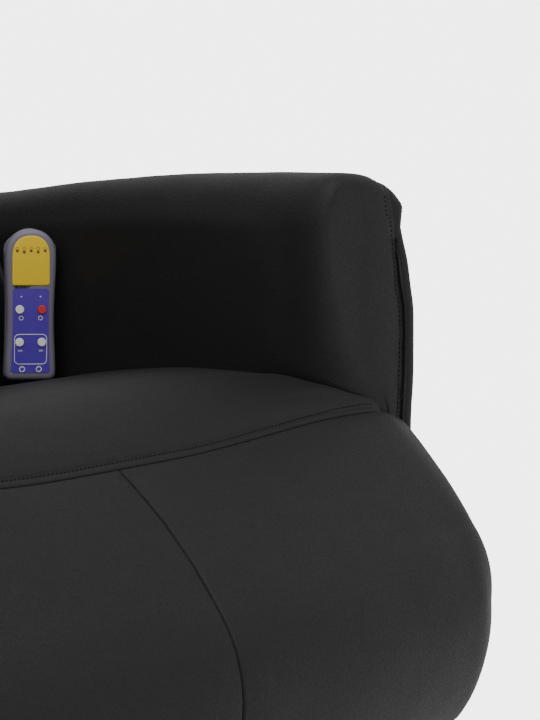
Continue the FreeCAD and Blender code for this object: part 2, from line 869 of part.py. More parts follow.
def make_seat_cushion(hidden):
    half = mm("seat_half") - mm("seat_play")
    shares = (-1, -0.94, -0.75, -0.4, 0, 0.4, 0.75, 0.94, 1)
    solid = loft([seat_section(half * share) for share in shares])
    room = []
    rim = mm("lug_rim") + mm("lug_gap")
    inner = mm("plate_side") - mm("bolt_head_high") - mm("seat_play")
    wide = mm("seat_half") - inner
    front = -mm("leg_pivot_ahead") - mm("lug_round") - rim
    rear = -mm("plate_front") + mm("lug_run") + mm("lug_gap")
    top = mm("leg_pivot_height") + mm("lug_round") + rim
    low = mm("seat_under_front") - mm("seat_plate_drop") - mm("lug_gap")
    for start in (-mm("seat_half"), inner):
        room.append(Part.makeBox(wide, rear - front, top - low, V(start, front, low)))
    return add_shape("seat_cushion", solid.cut(room + [piece.Shape for piece in hidden]))


# Leg rest

def leg_section(across):
    """Side profile of the leg rest pad: knuckle round its pivot, long slope, round nose and heel."""
    half, corner = mm("leg_half"), mm("leg_corner")
    flat_half = half - corner
    bow = mm("leg_bow") * min(abs(across) / flat_half, 1) ** 2
    past = max(abs(across) - flat_half, 0) / corner
    inset = corner * (1 - math.sqrt(max(1 - past ** 2, 0)))
    pull = bow + inset * 0.9
    sink = bow * 0.15 + inset * 0.3
    pivot = (-mm("leg_pivot_ahead"), mm("leg_pivot_height"))
    round_off = mm("knuckle") - sink
    steep = mm("leg_slope") + sink * 0.5
    rear, flank = pivot[0] + mm("knuckle"), pivot[1] - mm("leg_flank")
    top = polar(pivot, round_off, 90 + steep)
    heel_low = mm("leg_low") + inset * 0.3
    middle = (-mm("leg_mid_reach") + pull, mm("leg_mid_height") - sink)
    nose = (-mm("leg_reach") + pull, mm("leg_nose_height"))
    toe = (-mm("leg_heel_reach") + pull, heel_low)
    knuckle_rear = (pivot[0] + round_off, pivot[1])
    runs = [((rear, heel_low), None), ((rear, flank), None),
            (knuckle_rear, polar(pivot, round_off, (90 + steep) / 2)),
            (top, bulged(middle, top, mm("leg_thigh_swell"))), (middle, bulged(nose, middle, mm("leg_shin_swell"))),
            (nose, bulged(toe, nose, mm("leg_toe_swell"))), (toe, None)]
    return wire_at(lambda along, up: V(across, along, up), runs)


def make_legrest_pad(hidden):
    half, corner = mm("leg_half"), mm("leg_corner")
    flat_half = half - corner
    places = [flat_half * share for share in (0, 0.35, 0.7)]
    places += [flat_half + corner * share for share in (0, 0.5, 0.8, 0.96)]
    places = [-place for place in reversed(places[1:])] + places
    solid = loft([leg_section(across) for across in places])
    return add_shape("legrest_pad", solid.cut(legrest_slots() + [piece.Shape for piece in hidden]))


def legrest_slots():
    """Room in the pad for the plates' lugs, the pivot tube and the carriage's fork."""
    pivot = V(0, -mm("leg_pivot_ahead"), mm("leg_pivot_height"))
    slots = [tube_room(pivot.z, pivot.y)]
    gap = mm("lug_slot_gap")
    wide, drop = mm("plate_thick") + 2 * gap, mm("lug_slot_drop")
    for side in (-1, 1):
        start = pivot + RIGHT * (side * (mm("plate_side") - gap))
        slots.append(cylinder(mm("knuckle") + 2 * gap, wide, start, RIGHT * side))
        left = min(start.x, start.x + side * wide)
        slots.append(Part.makeBox(wide, mm("knuckle") + 2 * gap, drop, V(left, pivot.y, pivot.z - drop)))
    fork = mm("carriage_wide") + 2 * mm("fork_room")
    deep, low = mm("fork_slot_deep"), mm("carriage_floor") - mm("fork_slot_gap")
    high = pivot.z - mm("leg_pin_drop") + mm("fork_rise") + mm("fork_slot_gap")
    slots.append(Part.makeBox(fork, 2 * deep, high - low, V(-fork / 2, pivot.y + mm("knuckle") - deep, low)))
    return slots


def tube_room(height, reach):
    """The whole bore that a pivot tube and its bolts take up in the padding."""
    long = mm("seat_width")
    return cylinder(mm("tube_wide") / 2, long, V(-long / 2, reach, height), RIGHT)


def make_legrest_board():
    body = new_body("legrest_board")
    rear = "leg_pivot_ahead - knuckle + leg_board_sink"
    sketch = new_sketch(body, "XZ", "legrest_board_outline", rear)
    top = "leg_pivot_height - knuckle - leg_board_head"
    first = add_outline(sketch, [("-leg_board_half", "leg_board_low"), ("leg_board_half", "leg_board_low"),
                                 ("leg_board_half", top), ("-leg_board_half", top)])
    add_pad(body, sketch, "leg_board_thick")
    round_corners(body, "XZ", sketch, first, [0, 1, 2, 3], "leg_board_corner")
    return body


def make_legrest_bracket(number, start):
    """Strap from the pivot tube down the back of the leg rest's board."""
    body = new_body(f"legrest_bracket_{number}")
    sketch = new_sketch(body, "YZ", body.Name + "_outline", start)
    front = "-leg_pivot_ahead + knuckle - leg_board_sink"
    rear = f"{front} + leg_bracket_deep"
    low = "leg_board_low + leg_bracket_low"
    first = add_outline(sketch, [
        (rear, low), (rear, "leg_pivot_height - leg_bracket_neck"),
        ("-leg_pivot_ahead + crank_hub", "leg_pivot_height"),
        ("-leg_pivot_ahead + crank_hub", "leg_pivot_height + crank_hub"),
        ("-leg_pivot_ahead - crank_hub", "leg_pivot_height + crank_hub"),
        ("-leg_pivot_ahead - crank_hub", "leg_pivot_height - crank_hub"),
        (front, "leg_pivot_height - knuckle - leg_board_sink"),
        (front, low),
    ])
    add_circle(sketch, "-leg_pivot_ahead", "leg_pivot_height", "tube_wide / 2")
    add_pad(body, sketch, "leg_bracket_thick")
    round_corners(body, "YZ", sketch, first, [3, 4, 5], "leg_bracket_round")
    return body


def make_legrest_brackets():
    left = make_legrest_bracket(1, "-leg_bracket_place")
    right = make_legrest_bracket(2, "leg_bracket_place - leg_bracket_thick")
    return add_group("legrest_brackets", [left, right])


def make_pivot_tube(label, reach, height):
    return add_tube(label, "tube_wide / 2", "tube_wall", "tube_half", height, reach)


def make_bushes(label, reach, height):
    """Nylon bushes pressed into both ends of a pivot tube, bored to run on the pivot bolts."""
    bushes = []
    for number, start in enumerate(("-tube_half", "bush_inner"), 1):
        place = (start, reach, height)
        outer = add_rod(f"{label}_{number}_outer", "tube_wide / 2 - tube_wall", "bush_long", place, BACKWARD)
        bore = add_rod(f"{label}_{number}_bore", "pivot_bolt / 2 + bush_play", "bush_long", place, BACKWARD)
        bushes.append(add_cut(f"{label}_{number}", outer, bore))
    return add_group(label, bushes)


def make_crank(label, reach, height, pin_back, pin_drop):
    """Lever on a pivot tube: a round hub, a tapered web and a cross pin at its lower end."""
    body = new_body(label)
    web = new_sketch(body, "YZ", label + "_web")
    hub, tip = "crank_hub", "crank_pin"
    corners = [
        (f"{reach} + {hub}", height),
        (f"{reach} - {hub}", height),
        (f"{reach} + {pin_back} - {tip}", f"{height} - {pin_drop} - {tip} / 3"),
        (f"{reach} + {pin_back} - {tip} / 2", f"{height} - {pin_drop} - {tip}"),
        (f"{reach} + {pin_back} + {tip} / 2", f"{height} - {pin_drop} - {tip}"),
        (f"{reach} + {pin_back} + {tip}", f"{height} - {pin_drop} - {tip} / 3"),
    ]
    add_outline(web, corners)
    add_pad(body, web, "crank_thick", True)
    ring = new_sketch(body, "YZ", label + "_hub")
    add_circle(ring, reach, height, hub)
    add_pad(body, ring, "crank_thick * 3", True)
    pin = new_sketch(body, "YZ", label + "_pin")
    add_circle(pin, f"{reach} + {pin_back}", f"{height} - {pin_drop}", "crank_pin / 2")
    add_pad(body, pin, "crank_pin_long", True)
    bore = new_sketch(body, "YZ", label + "_bore")
    add_circle(bore, reach, height, "tube_wide / 2")
    add_pocket(body, bore, "crank_thick * 4")
    return body


# Drive

def make_drive_housing():
    """Die-cast housing with the channel in which both carriages slide."""
    body = new_body("drive_housing")
    sketch = new_sketch(body, "XZ", "drive_section", "drive_front")
    slot = "carriage_wide / 2 + carriage_gap"
    floor = "carriage_floor - carriage_gap"
    first = add_outline(sketch, [
        ("-drive_half", "drive_low"), ("drive_half", "drive_low"),
        ("drive_half", "drive_high"), (slot, "drive_high"), (slot, floor),
        (f"-({slot})", floor), (f"-({slot})", "drive_high"), ("-drive_half", "drive_high"),
    ])
    add_pad(body, sketch, "-(drive_front + drive_rear)")
    round_corners(body, "XZ", sketch, first, [0, 1, 2, 7], "drive_round")
    return body


def make_drive_motor(label, side, reach):
    """Gear motor on the side of the drive: a neck, a can and an end cap, all round."""
    body = new_body(label)
    sketch = new_sketch(body, "XZ", label + "_profile")
    start = "drive_half"
    radius = "motor_wide / 2"
    neck, cap = f"{radius} - motor_neck_step", f"{radius} - motor_cap_step"
    shoulder, end = f"{start} + motor_neck", f"{start} + motor_long"
    cap_start = f"{end} - motor_neck_step"
    steps = [(start, "0"), (start, neck), (shoulder, neck), (shoulder, radius), (cap_start, radius),
             (cap_start, cap), (end, cap), (end, "0")]
    add_outline(sketch, [(f"({across}) * {side}", out) for across, out in steps])
    turned = body.newObject("PartDesign::Revolution", label + "_turned")
    turned.Profile = sketch
    turned.ReferenceAxis = (sketch, ["H_Axis"])
    turned.Angle = 360
    set_place(body, ("0", reach, "(drive_low + carriage_floor) / 2 + motor_rise"))
    doc.recompute()
    return body


def make_carriage(label, way, pin, pin_low, bar_end, fork_top):
    """Slide bar with a fork at its end: the crank's cross pin stands in the fork's upright slot."""
    body = new_body(label)
    sketch = new_sketch(body, "YZ", label + "_side")
    floor, top = "carriage_floor", "carriage_floor + carriage_bar"
    slot = "crank_pin / 2 + pin_play"
    base = f"{pin_low} - crank_pin / 2 - fork_floor"
    near, far = f"{pin} - fork_reach * {way}", f"{pin} + fork_reach * {way}"
    add_outline(sketch, [
        (near, floor), (bar_end, floor), (bar_end, top), (f"{far} + fork_foot * {way}", top),
        (far, f"{top} + fork_foot"),
        (far, fork_top), (f"{pin} + ({slot}) * {way}", fork_top), (f"{pin} + ({slot}) * {way}", base),
        (f"{pin} - ({slot}) * {way}", base), (f"{pin} - ({slot}) * {way}", fork_top), (near, fork_top),
    ])
    add_pad(body, sketch, "carriage_wide", True)
    gap = new_sketch(body, "YZ", label + "_gap")
    deep = f"{pin_low} - crank_pin - fork_floor * 2"
    near_end, far_end, high = f"{pin} - crank_pin * 5", f"{pin} + crank_pin * 5", f"{pin_low} + crank_arm"
    add_outline(gap, [(near_end, deep), (far_end, deep), (far_end, high), (near_end, high)])
    add_pocket(body, gap, "crank_thick + crank_side_gap * 2")
    return body


# Control box and inlet

def box_outline(sketch, side_inset="0", end_inset="0"):
    """Draws the control box's outline, or a smaller one inside it, and returns its first line's number."""
    left, right = f"box_place + {side_inset}", f"box_place + box_wide - ({side_inset})"
    front = f"drive_bar_rear - box_deep / 2 + {end_inset}"
    rear = f"drive_bar_rear + box_deep / 2 - ({end_inset})"
    return add_outline(sketch, [(left, front), (right, front), (right, rear), (left, rear)])


def make_box_block(label, low, high):
    body = new_body(label)
    sketch = new_sketch(body, "XY", label + "_outline", low)
    first = box_outline(sketch)
    add_pad(body, sketch, high)
    round_corners(body, "XY", sketch, first, [0, 1, 2, 3], "box_corner")
    return body


def make_control_box():
    """Moulded box on the rear drive bar, open at the top, with thick end walls for the lid's screws."""
    body = make_box_block("control_box", "drive_low", "box_high")
    room = new_sketch(body, "XY", "control_box_room", "drive_low + box_high / 2 + box_wall / 2")
    box_outline(room, "box_wall + box_boss", "box_wall")
    add_pocket(body, room, "box_high - box_wall")
    return body


def make_box_screws():
    screws = []
    for number, (across, along) in enumerate(((-1, -1), (-1, 1), (1, -1), (1, 1)), 1):
        place = (f"box_place + box_wide / 2 + (box_wide / 2 - box_screw_side) * {across}",
                 f"drive_bar_rear + (box_deep / 2 - box_screw_end) * {along}", "drive_low + box_high + lid_thick")
        screws.append(add_rod(f"box_screw_{number}", "screw_wide", "screw_wide / 2", place))
    return add_group("box_screws", screws)


def make_power_inlet():
    """Round low-voltage socket on the rear base rail."""
    body = new_body("power_inlet")
    sketch = new_sketch(body, "XZ", "power_inlet_flange", "-base_rail_reach")
    add_circle(sketch, "inlet_place", "inlet_height", "inlet_wide / 2")
    add_circle(sketch, "inlet_place", "inlet_height", "inlet_bore / 2")
    add_pad(body, sketch, "-inlet_deep")
    return body


# Backrest

def back_section(across):
    """Side profile of the backrest in its leaning frame: a round foot at the pivot and three pillows."""
    half = mm("back_half")
    share = min(abs(across) / half, 1)
    pull = mm("back_side_pull") * share ** 3
    swell = mm("pillow_swell") * (1 - 0.55 * share ** 2.5)
    front = -mm("back_front") + pull
    foot = mm("back_front")
    rear, top, edge = mm("back_rear"), mm("back_high") - pull * 0.9, mm("back_top_edge")
    start, lumbar = (front, mm("lumbar_low")), (front, mm("lumbar_top"))
    shoulder = (front + mm("shoulder_step"), mm("shoulder_top"))
    head = (front + mm("head_back"), top)
    crown = (rear - mm("crown_back"), top - 4)
    bottom = (0, -foot + pull)
    runs = [(bottom, polar((0, 0), foot - pull, 225)), ((-foot + pull, 0), None),
            (start, bulged(start, lumbar, swell)), (lumbar, bulged(lumbar, shoulder, swell * 0.9)),
            (shoulder, bulged(shoulder, head, swell)), (head, bulged(head, crown, 14)),
            (crown, bulged(crown, (rear, top - edge), 5)), ((rear, top - edge), None), ((rear, mm("post_low")), None),
            ((foot, 4), polar((0, 0), foot - pull, 315))]
    return wire_at(lambda along, up: V(across, along, up), runs)


def make_back_cushion(hidden):
    half = mm("back_half")
    shares = (-1, -0.95, -0.8, -0.45, 0, 0.45, 0.8, 0.95, 1)
    solid = loft([back_section(half * share) for share in shares])
    room = []
    for side in (-1, 1):
        inner = mm("plate_side") - mm("tube_gap") - mm("back_plate_thick") - mm("strap_gap")
        start = inner if side > 0 else -mm("seat_half")
        ahead = 2 * mm("back_front")
        room.append(Part.makeBox(mm("seat_half") - inner, 2 * ahead, ahead, V(start, -ahead, -mm("back_lug_room"))))
    shape = solid.cut(room)
    shape.Placement = back_placement()
    bore = tube_room(mm("back_pivot_height"), mm("back_pivot_behind"))
    return add_shape("back_cushion", shape.cut([bore] + [piece.Shape for piece in hidden]))


def make_back_panel():
    """Crowned rear panel that closes the backrest."""
    low, high = mm("back_panel_low"), mm("back_high") - mm("back_panel_head")
    wires = []
    for share, inset in ((0, 0), (0.6, 4), (1, 26)):
        side, bottom, top = mm("back_panel_half") - inset, low + inset, high - inset
        runs = rounded([(-side, bottom), (side, bottom), (side, top), (-side, top)],
                       mm("back_panel_corner") - inset * 0.5)
        out = mm("back_rear") + mm("back_panel_thick") * share
        wires.append(wire_at(lambda across, up, out=out: V(across, out, up), runs))
    panel = loft(wires)
    panel.Placement = back_placement()
    return add_shape("back_panel", panel)


def make_back_posts():
    posts = []
    for number, start in enumerate(("-post_place - post_wide", "post_place"), 1):
        size = ("post_wide", "post_deep", "post_top - post_low")
        posts.append(add_box(f"back_post_{number}", size, on_back(start, "post_front", "post_low"),
                             RIGHT, "-back_lean"))
    return add_group("back_posts", posts)


def make_back_rails():
    rails = []
    for number, low in enumerate(("post_low + rail_rise", "post_top - rail_high"), 1):
        size = ("post_place * 2", "rail_thick", "rail_high")
        rails.append(add_box(f"back_rail_{number}", size, on_back("-post_place", "post_front + rail_sink", low),
                             RIGHT, "-back_lean"))
    return add_group("back_rails", rails)


def make_back_webbing():
    straps = []
    for k in range(6):
        size = ("post_place * 2 + post_wide", "strap_thick", "back_strap_wide")
        upward = f"post_low + back_strap_start + back_strap_step * {k}"
        place = on_back("-post_place - post_wide / 2", "post_front - strap_thick", upward)
        straps.append(add_box(f"back_strap_{k + 1}", size, place, RIGHT, "-back_lean"))
    return add_group("back_webbing", straps)


def make_back_bracket(number, start):
    """Steel plate from the pivot tube up the outside of a backrest post."""
    body = new_body(f"back_bracket_{number}")
    sketch = new_sketch(body, "YZ", body.Name + "_outline", start)
    hub = "crank_hub + back_plate_rim"
    front, rear = "post_front + back_plate_edge", "post_front + post_deep"
    first = add_outline(sketch, [
        (f"-({hub})", f"-({hub})"), (hub, f"-({hub})"), (hub, "0"), (rear, "post_low"), (rear, "back_plate_top"),
        (front, "back_plate_top"), (front, "post_low + back_plate_neck"), (f"-({hub})", "back_plate_heel"),
    ])
    add_circle(sketch, "0", "0", "tube_wide / 2")
    add_pad(body, sketch, "back_plate_thick")
    round_corners(body, "YZ", sketch, first, [0, 1], "crank_hub")
    body.Placement = FreeCAD.Placement(V(0, 0, 0), FreeCAD.Rotation(RIGHT, 10))
    set_place(body, ("0", "back_pivot_behind", "back_pivot_height"), RIGHT, "-back_lean")
    return body


def make_back_brackets():
    left = make_back_bracket(1, "-post_place - post_wide - back_plate_thick")
    right = make_back_bracket(2, "post_place + post_wide")
    return add_group("back_brackets", [left, right])


# Vibration motors

def seat_motor_places():
    """Formulas of the two cups' places on the seat's straps."""
    reach = "seat_motor_behind"
    height = f"seat_under_front - (plate_front + {reach}) * tan(seat_pitch) + strap_gap"
    return [(f"seat_motor_place * {side}", reach, height) for side in (-1, 1)]


def back_motor_places():
    """Formulas of the two cups' places in front of the backrest's straps."""
    forward = "post_front - strap_thick - strap_gap"
    return [on_back("0", forward, height) for height in ("lumbar_motor_height", "shoulder_motor_height")]


def make_cups(label, places, axis, angle):
    cups = []
    for number, place in enumerate(places, 1):
        outer = add_rod(f"{label}_{number}_outer", "cup_wide / 2", "cup_high", place, axis, angle)
        raised = lift_along(place, "cup_wall", angle)
        inner = add_rod(f"{label}_{number}_room", "cup_wide / 2 - cup_wall", "cup_high", raised, axis, angle)
        cups.append(add_cut(f"{label}_{number}", outer, inner))
    return add_group(label, cups)


def lift_along(place, rise, angle):
    """Moves a place by a rise along the up direction of a frame turned about X."""
    across, reach, height = place
    return across, f"{reach} - ({rise}) * sin({angle})", f"{height} + ({rise}) * cos({angle})"


def motor_axis(place, angle):
    return lift_along(place, "cup_wall + can_gap + can_wide / 2", angle)


def shifted(place, shift):
    return (f"{place[0]} + {shift}", place[1], place[2])


def make_motors(label, places, angle):
    """Small motor cans that lie in the cups, each bored for its shaft."""
    cans = []
    for number, place in enumerate(places, 1):
        centre = motor_axis(place, angle)
        start = shifted(centre, "can_ahead - can_long")
        can = add_rod(f"{label}_{number}_can", "can_wide / 2", "can_long", start, BACKWARD)
        deep = "shaft_sunk + shaft_end_gap"
        bore = add_rod(f"{label}_{number}_bore", "shaft_wide / 2 + shaft_play", f"can_ahead + {deep}",
                       shifted(centre, f"-({deep})"), BACKWARD)
        cans.append(add_cut(f"{label}_{number}", can, bore))
    return add_group(label, cans)


def make_weight(label, place, angle):
    """Half-round eccentric weight on its shaft."""
    centre = motor_axis(place, angle)
    shaft = add_rod(label + "_shaft", "shaft_wide / 2", "shaft_long", shifted(centre, "-shaft_sunk"), BACKWARD)
    disc = add_rod(label + "_disc", "weight_wide / 2", "weight_long", shifted(centre, "weight_ahead"), BACKWARD)
    disc.Angle = 180
    fuse = doc.addObject("Part::Fuse", label)
    fuse.Base = shaft
    fuse.Tool = disc
    fuse.Label = label
    return fuse


# Hand control

def control_placement(floor):
    """Where the hand control stands: in the corner, turned to the sitter and leaning into the corner."""
    place = V(mm("control_across"), mm("control_behind"), floor)
    turn = FreeCAD.Rotation(UP, -mm("control_turn"))
    tilt = FreeCAD.Rotation(RIGHT, -mm("control_tilt"))
    roll = FreeCAD.Rotation(BACKWARD, mm("control_roll"))
    return FreeCAD.Placement(place, turn.multiply(tilt).multiply(roll))


def control_outline(inset, depth):
    """Front view of the hand control: straight foot, slight waist, round shoulders and an arched top."""
    half, high = mm("control_half") - inset, mm("control_high") - inset
    corner = mm("control_corner") - inset * 0.5
    nick = corner * NICK
    waist = mm("control_waist")
    shoulder = high - mm("control_shoulder")
    brow = (half - 9, high - mm("control_rise"))
    low = inset
    runs = [((-half + corner, low), None), ((half - corner, low), (half - nick, low + nick)),
            ((half, low + corner), (half - waist, (low + shoulder) / 2)),
            ((half, shoulder), bulged((half, shoulder), brow, -2.5)),
            (brow, (0, high)), ((-brow[0], brow[1]), bulged((-brow[0], brow[1]), (-half, shoulder), -2.5)),
            ((-half, shoulder), (-half + waist, (low + shoulder) / 2)),
            ((-half, low + corner), (-half + nick, low + nick))]
    return wire_at(lambda across, up: V(across, depth, up), runs)


def control_block(inset, start, end):
    return Part.Face(control_outline(inset, start)).extrude(BACKWARD * (end - start))


def control_shell(way):
    """Half of the case: lofted to a smaller outer face, hollow behind its wall."""
    front, edge, wall = mm("control_front"), mm("control_edge"), mm("control_wall")
    wires = [control_outline(0, 0), control_outline(0, way * (front - edge)),
             control_outline(edge * 0.3, way * (front - edge * 0.3)), control_outline(edge, way * front)]
    solid = Part.makeLoft(wires, True, True)
    depth = way * (front - wall)
    room = control_block(wall, min(0, depth), max(0, depth))
    return solid.cut(room)


def control_panel_block(low, high, start, end):
    """Panel that follows the case's outline between two heights, with rounded corners."""
    half = mm("control_half")
    band = Part.makeBox(2 * half, end - start, high - low, V(-half, start, low))
    block = control_block(mm("panel_margin"), start, end).common(band)
    corners = [edge for edge in block.Edges if is_panel_corner(edge, (low, high))]
    return block.makeFillet(mm("panel_corner"), corners)


def is_panel_corner(edge, heights):
    """True for an edge from front to back at the foot or head of the panel."""
    start, end = edge.firstVertex().Point, edge.lastVertex().Point
    straight = math.hypot(start.x - end.x, start.z - end.z) < NEAR
    return straight and min(abs(start.z - height) for height in heights) < NEAR


def button_places():
    column = mm("button_column")
    return {"power_button": (column, mm("power_row")), "massage_button": (-column, mm("power_row")),
            "back_button": (column, mm("function_row")), "leg_button": (-column, mm("function_row"))}


def light_places():
    return [(mm("light_step") * k, mm("light_row") - mm("light_drop") * (k % 2)) for k in (-2, -1, 0, 1, 2)]


def button_hole(middle, start, end):
    radius = mm("button_wide") / 2 + mm("button_hole_gap")
    return cylinder(radius, end - start, V(middle[0], start, middle[1]), BACKWARD)


def screw_places():
    side = mm("control_screw_place")
    return [(across, up) for up in (mm("control_screw_low"), mm("control_screw_high")) for across in (-side, side)]


def settled_placement(cushion):
    """Lowers the hand control's shells until their foot rests on the seat, less a small gap."""
    foot = Part.makeCompound([control_shell(-1), control_shell(1)])
    foot.Placement = control_placement(mm("seat_crest"))
    for _ in range(8):
        foot.translate(UP * (mm("control_rest") - foot.distToShape(cushion.Shape)[0]))
    return foot.Placement


def place_control(label, shape, place):
    shape.Placement = place
    return add_shape(label, shape)


def make_control_case_front(place):
    """Front shell with the panel recess, button holes, light holes and screw posts."""
    front, deep, wall = -mm("control_front"), mm("panel_thick"), mm("control_wall")
    shape = control_shell(-1)
    cuts = [control_panel_block(mm("upper_panel_low"), mm("upper_panel_high"), front, front + deep),
            control_panel_block(mm("lower_panel_low"), mm("lower_panel_high"), front, front + deep)]
    cuts += [button_hole(middle, front, front + 2 * wall) for middle in button_places().values()]
    radius = mm("light_wide") / 2
    cuts += [cylinder(radius, 2 * wall, V(across, front, up), BACKWARD) for across, up in light_places()]
    base, grip = front + wall / 2, mm("control_screw_grip") + mm("control_screw_end_gap")
    posts = [cylinder(mm("control_post"), -base, V(across, base, up), BACKWARD) for across, up in screw_places()]
    holes = [cylinder(mm("control_screw") / 2, grip, V(across, -grip, up), BACKWARD) for across, up in screw_places()]
    return place_control("control_case_front", shape.cut(cuts).fuse(posts).cut(holes), place)


def make_control_case_back(place):
    """Rear shell with counterbored screw posts."""
    rear, wall, deep = mm("control_front"), mm("control_wall"), mm("control_head_deep")
    long = rear - wall / 2
    posts = [cylinder(mm("control_post"), long, V(across, 0, up), BACKWARD) for across, up in screw_places()]
    holes = []
    for across, up in screw_places():
        holes.append(cylinder(mm("control_screw") / 2, rear, V(across, 0, up), BACKWARD))
        holes.append(cylinder(mm("control_screw_head") / 2, deep, V(across, rear - deep, up), BACKWARD))
    return place_control("control_case_back", control_shell(1).fuse(posts).cut(holes), place)


def make_control_panels(place):
    front, deep = -mm("control_front"), mm("panel_thick")
    upper = control_panel_block(mm("upper_panel_low"), mm("upper_panel_high"), front, front + deep)
    lights = [cylinder(mm("light_wide") / 2, deep, V(across, front, up), BACKWARD) for across, up in light_places()]
    lower = control_panel_block(mm("lower_panel_low"), mm("lower_panel_high"), front, front + deep)
    holes = [button_hole(middle, front, front + deep) for middle in button_places().values()]
    return [place_control("control_upper_panel", upper.cut(lights), place),
            place_control("control_lower_panel", lower.cut(holes), place)]


def make_control_lights(place):
    front = -mm("control_front")
    start = front - mm("light_proud")
    long = mm("light_proud") + mm("control_wall") + mm("light_sunk")
    lights = [cylinder(mm("light_wide") / 2, long, V(across, start, up), BACKWARD) for across, up in light_places()]
    return place_control("control_lights", Part.makeCompound(lights), place)


def make_button(label, middle, place):
    """Round cap that stands through the case, with a flange behind the wall that holds it in."""
    front, wall = -mm("control_front"), mm("control_wall")
    flange = front + wall + mm("flange_gap")
    cap_start = front - mm("button_proud")
    radius = mm("button_wide") / 2
    cap = cylinder(radius, flange - cap_start, V(middle[0], cap_start, middle[1]), BACKWARD)
    rim = [edge for edge in cap.Edges if abs(edge.BoundBox.YMax - cap_start) < 0.01]
    cap = cap.makeFillet(mm("button_edge"), rim)
    collar = cylinder(mm("button_flange") / 2, mm("flange_thick"), V(middle[0], flange, middle[1]), BACKWARD)
    stem_start = flange + mm("flange_thick")
    stem_end = -mm("board_deep") - mm("button_travel") - mm("flange_gap")
    stem = cylinder(mm("button_stem"), stem_end - stem_start, V(middle[0], stem_start, middle[1]), BACKWARD)
    return place_control(label, cap.fuse([collar, stem]), place)


def make_control_board(place):
    """Circuit board across the case, notched round the screw posts."""
    deep = -mm("board_deep")
    block = control_block(mm("control_wall") + mm("board_gap"), deep, deep + mm("board_thick"))
    radius = mm("control_post") + mm("board_gap")
    notches = [cylinder(radius, mm("board_thick"), V(across, deep, up), BACKWARD) for across, up in screw_places()]
    return place_control("control_board", block.cut(notches), place)


def make_control_screws(place):
    seat, grip = mm("control_front") - mm("control_head_deep"), mm("control_screw_grip")
    screws = []
    for across, up in screw_places():
        head = cylinder(mm("control_screw_head") / 2, mm("control_head_thick"), V(across, seat, up), BACKWARD)
        shank = cylinder(mm("control_screw") / 2, seat + grip, V(across, -grip, up), BACKWARD)
        screws.append(head.fuse(shank))
    return place_control("control_screws", Part.makeCompound(screws), place)


def build_all():
    """Makes every sub-part and gives them in the order in which they are written."""
    leg_reach, leg_height = "-leg_pivot_ahead", "leg_pivot_height"
    back_reach, back_height = "back_pivot_behind", "back_pivot_height"
    frames = [make_side_frame("side_frame_left", "-frame_side - frame_thick"),
              make_side_frame("side_frame_right", "frame_side")]
    plates = [make_seat_plate("seat_plate_left", "-seat_half"), make_seat_plate("seat_plate_right", "plate_side")]
    bolts = make_frame_bolts()
    doc.recompute()
    arms = [make_arm("arm_left", -1, [frames[0], bolts]), make_arm("arm_right", 1, [frames[1], bolts])]
    panels = [make_arm_panel("arm_panel_left", -1), make_arm_panel("arm_panel_right", 1)]
    base = [make_feet(), make_base_rails(), bolts, make_pivot_bolts(), make_seat_tubes(), make_drive_bars(),
            make_seat_webbing()]
    cups = make_cups("seat_motor_cups", seat_motor_places(), RIGHT, "-seat_pitch")
    seat_motors = make_motors("seat_motors", seat_motor_places(), "-seat_pitch")
    doc.recompute()
    cup_rooms = [piece for piece in doc.Objects if re.fullmatch(r"seat_motor_cups_\d_outer", piece.Name)]
    cushion = make_seat_cushion(cup_rooms)
    legrest = [make_legrest_board(), make_pivot_tube("legrest_tube", leg_reach, leg_height),
               make_bushes("legrest_bushes", leg_reach, leg_height), make_legrest_brackets(),
               make_crank("legrest_crank", leg_reach, leg_height, "leg_pin_back", "leg_pin_drop")]
    drive = [make_drive_housing(), make_drive_motor("leg_drive_motor", 1, "-leg_motor_ahead"),
             make_drive_motor("back_drive_motor", -1, "back_motor_behind"),
             make_carriage("leg_carriage", 1, f"{leg_reach} + leg_pin_back", f"{leg_height} - crank_arm",
                           "-drive_front + leg_bar_long", f"{leg_height} - leg_pin_drop + fork_rise"),
             make_carriage("back_carriage", -1, f"{back_reach} + back_pin_back", f"{back_height} - crank_arm",
                           "drive_rear - back_bar_long", f"{back_height} - back_pin_drop + fork_rise")]
    lid = make_box_block("control_box_lid", "drive_low + box_high", "lid_thick")
    control = [make_control_box(), lid, make_box_screws(), make_power_inlet()]
    back = [make_back_posts(), make_back_rails(), make_back_webbing(), make_back_brackets(),
            make_pivot_tube("back_tube", back_reach, back_height),
            make_bushes("back_bushes", back_reach, back_height),
            make_crank("back_crank", back_reach, back_height, "back_pin_back", "back_pin_drop")]
    back_angle = "90 - back_lean"
    back_cups = make_cups("back_motor_cups", back_motor_places(), RIGHT, back_angle)
    back_motors = make_motors("back_motors", back_motor_places(), back_angle)
    weights = [make_weight("seat_weight_left", seat_motor_places()[0], "-seat_pitch"),
               make_weight("seat_weight_right", seat_motor_places()[1], "-seat_pitch"),
               make_weight("lumbar_weight", back_motor_places()[0], back_angle),
               make_weight("shoulder_weight", back_motor_places()[1], back_angle)]
    doc.recompute()
    pad = make_legrest_pad(legrest)
    outer_cups = [piece for piece in doc.Objects if re.fullmatch(r"back_motor_cups_\d_outer", piece.Name)]
    back_cushion = make_back_cushion(back + outer_cups)
    place = settled_placement(cushion)
    handset = [make_control_case_front(place), make_control_case_back(place)] + make_control_panels(place)
    handset += [make_control_lights(place), make_control_board(place), make_control_screws(place)]
    handset += [make_button(label, middle, place) for label, middle in button_places().items()]
    doc.recompute()
    return (base + frames + plates + arms + panels + [cushion, cups, seat_motors] + drive + control + [pad]
            + legrest + [back_cushion, make_back_panel()] + back + [back_cups, back_motors] + weights + handset)


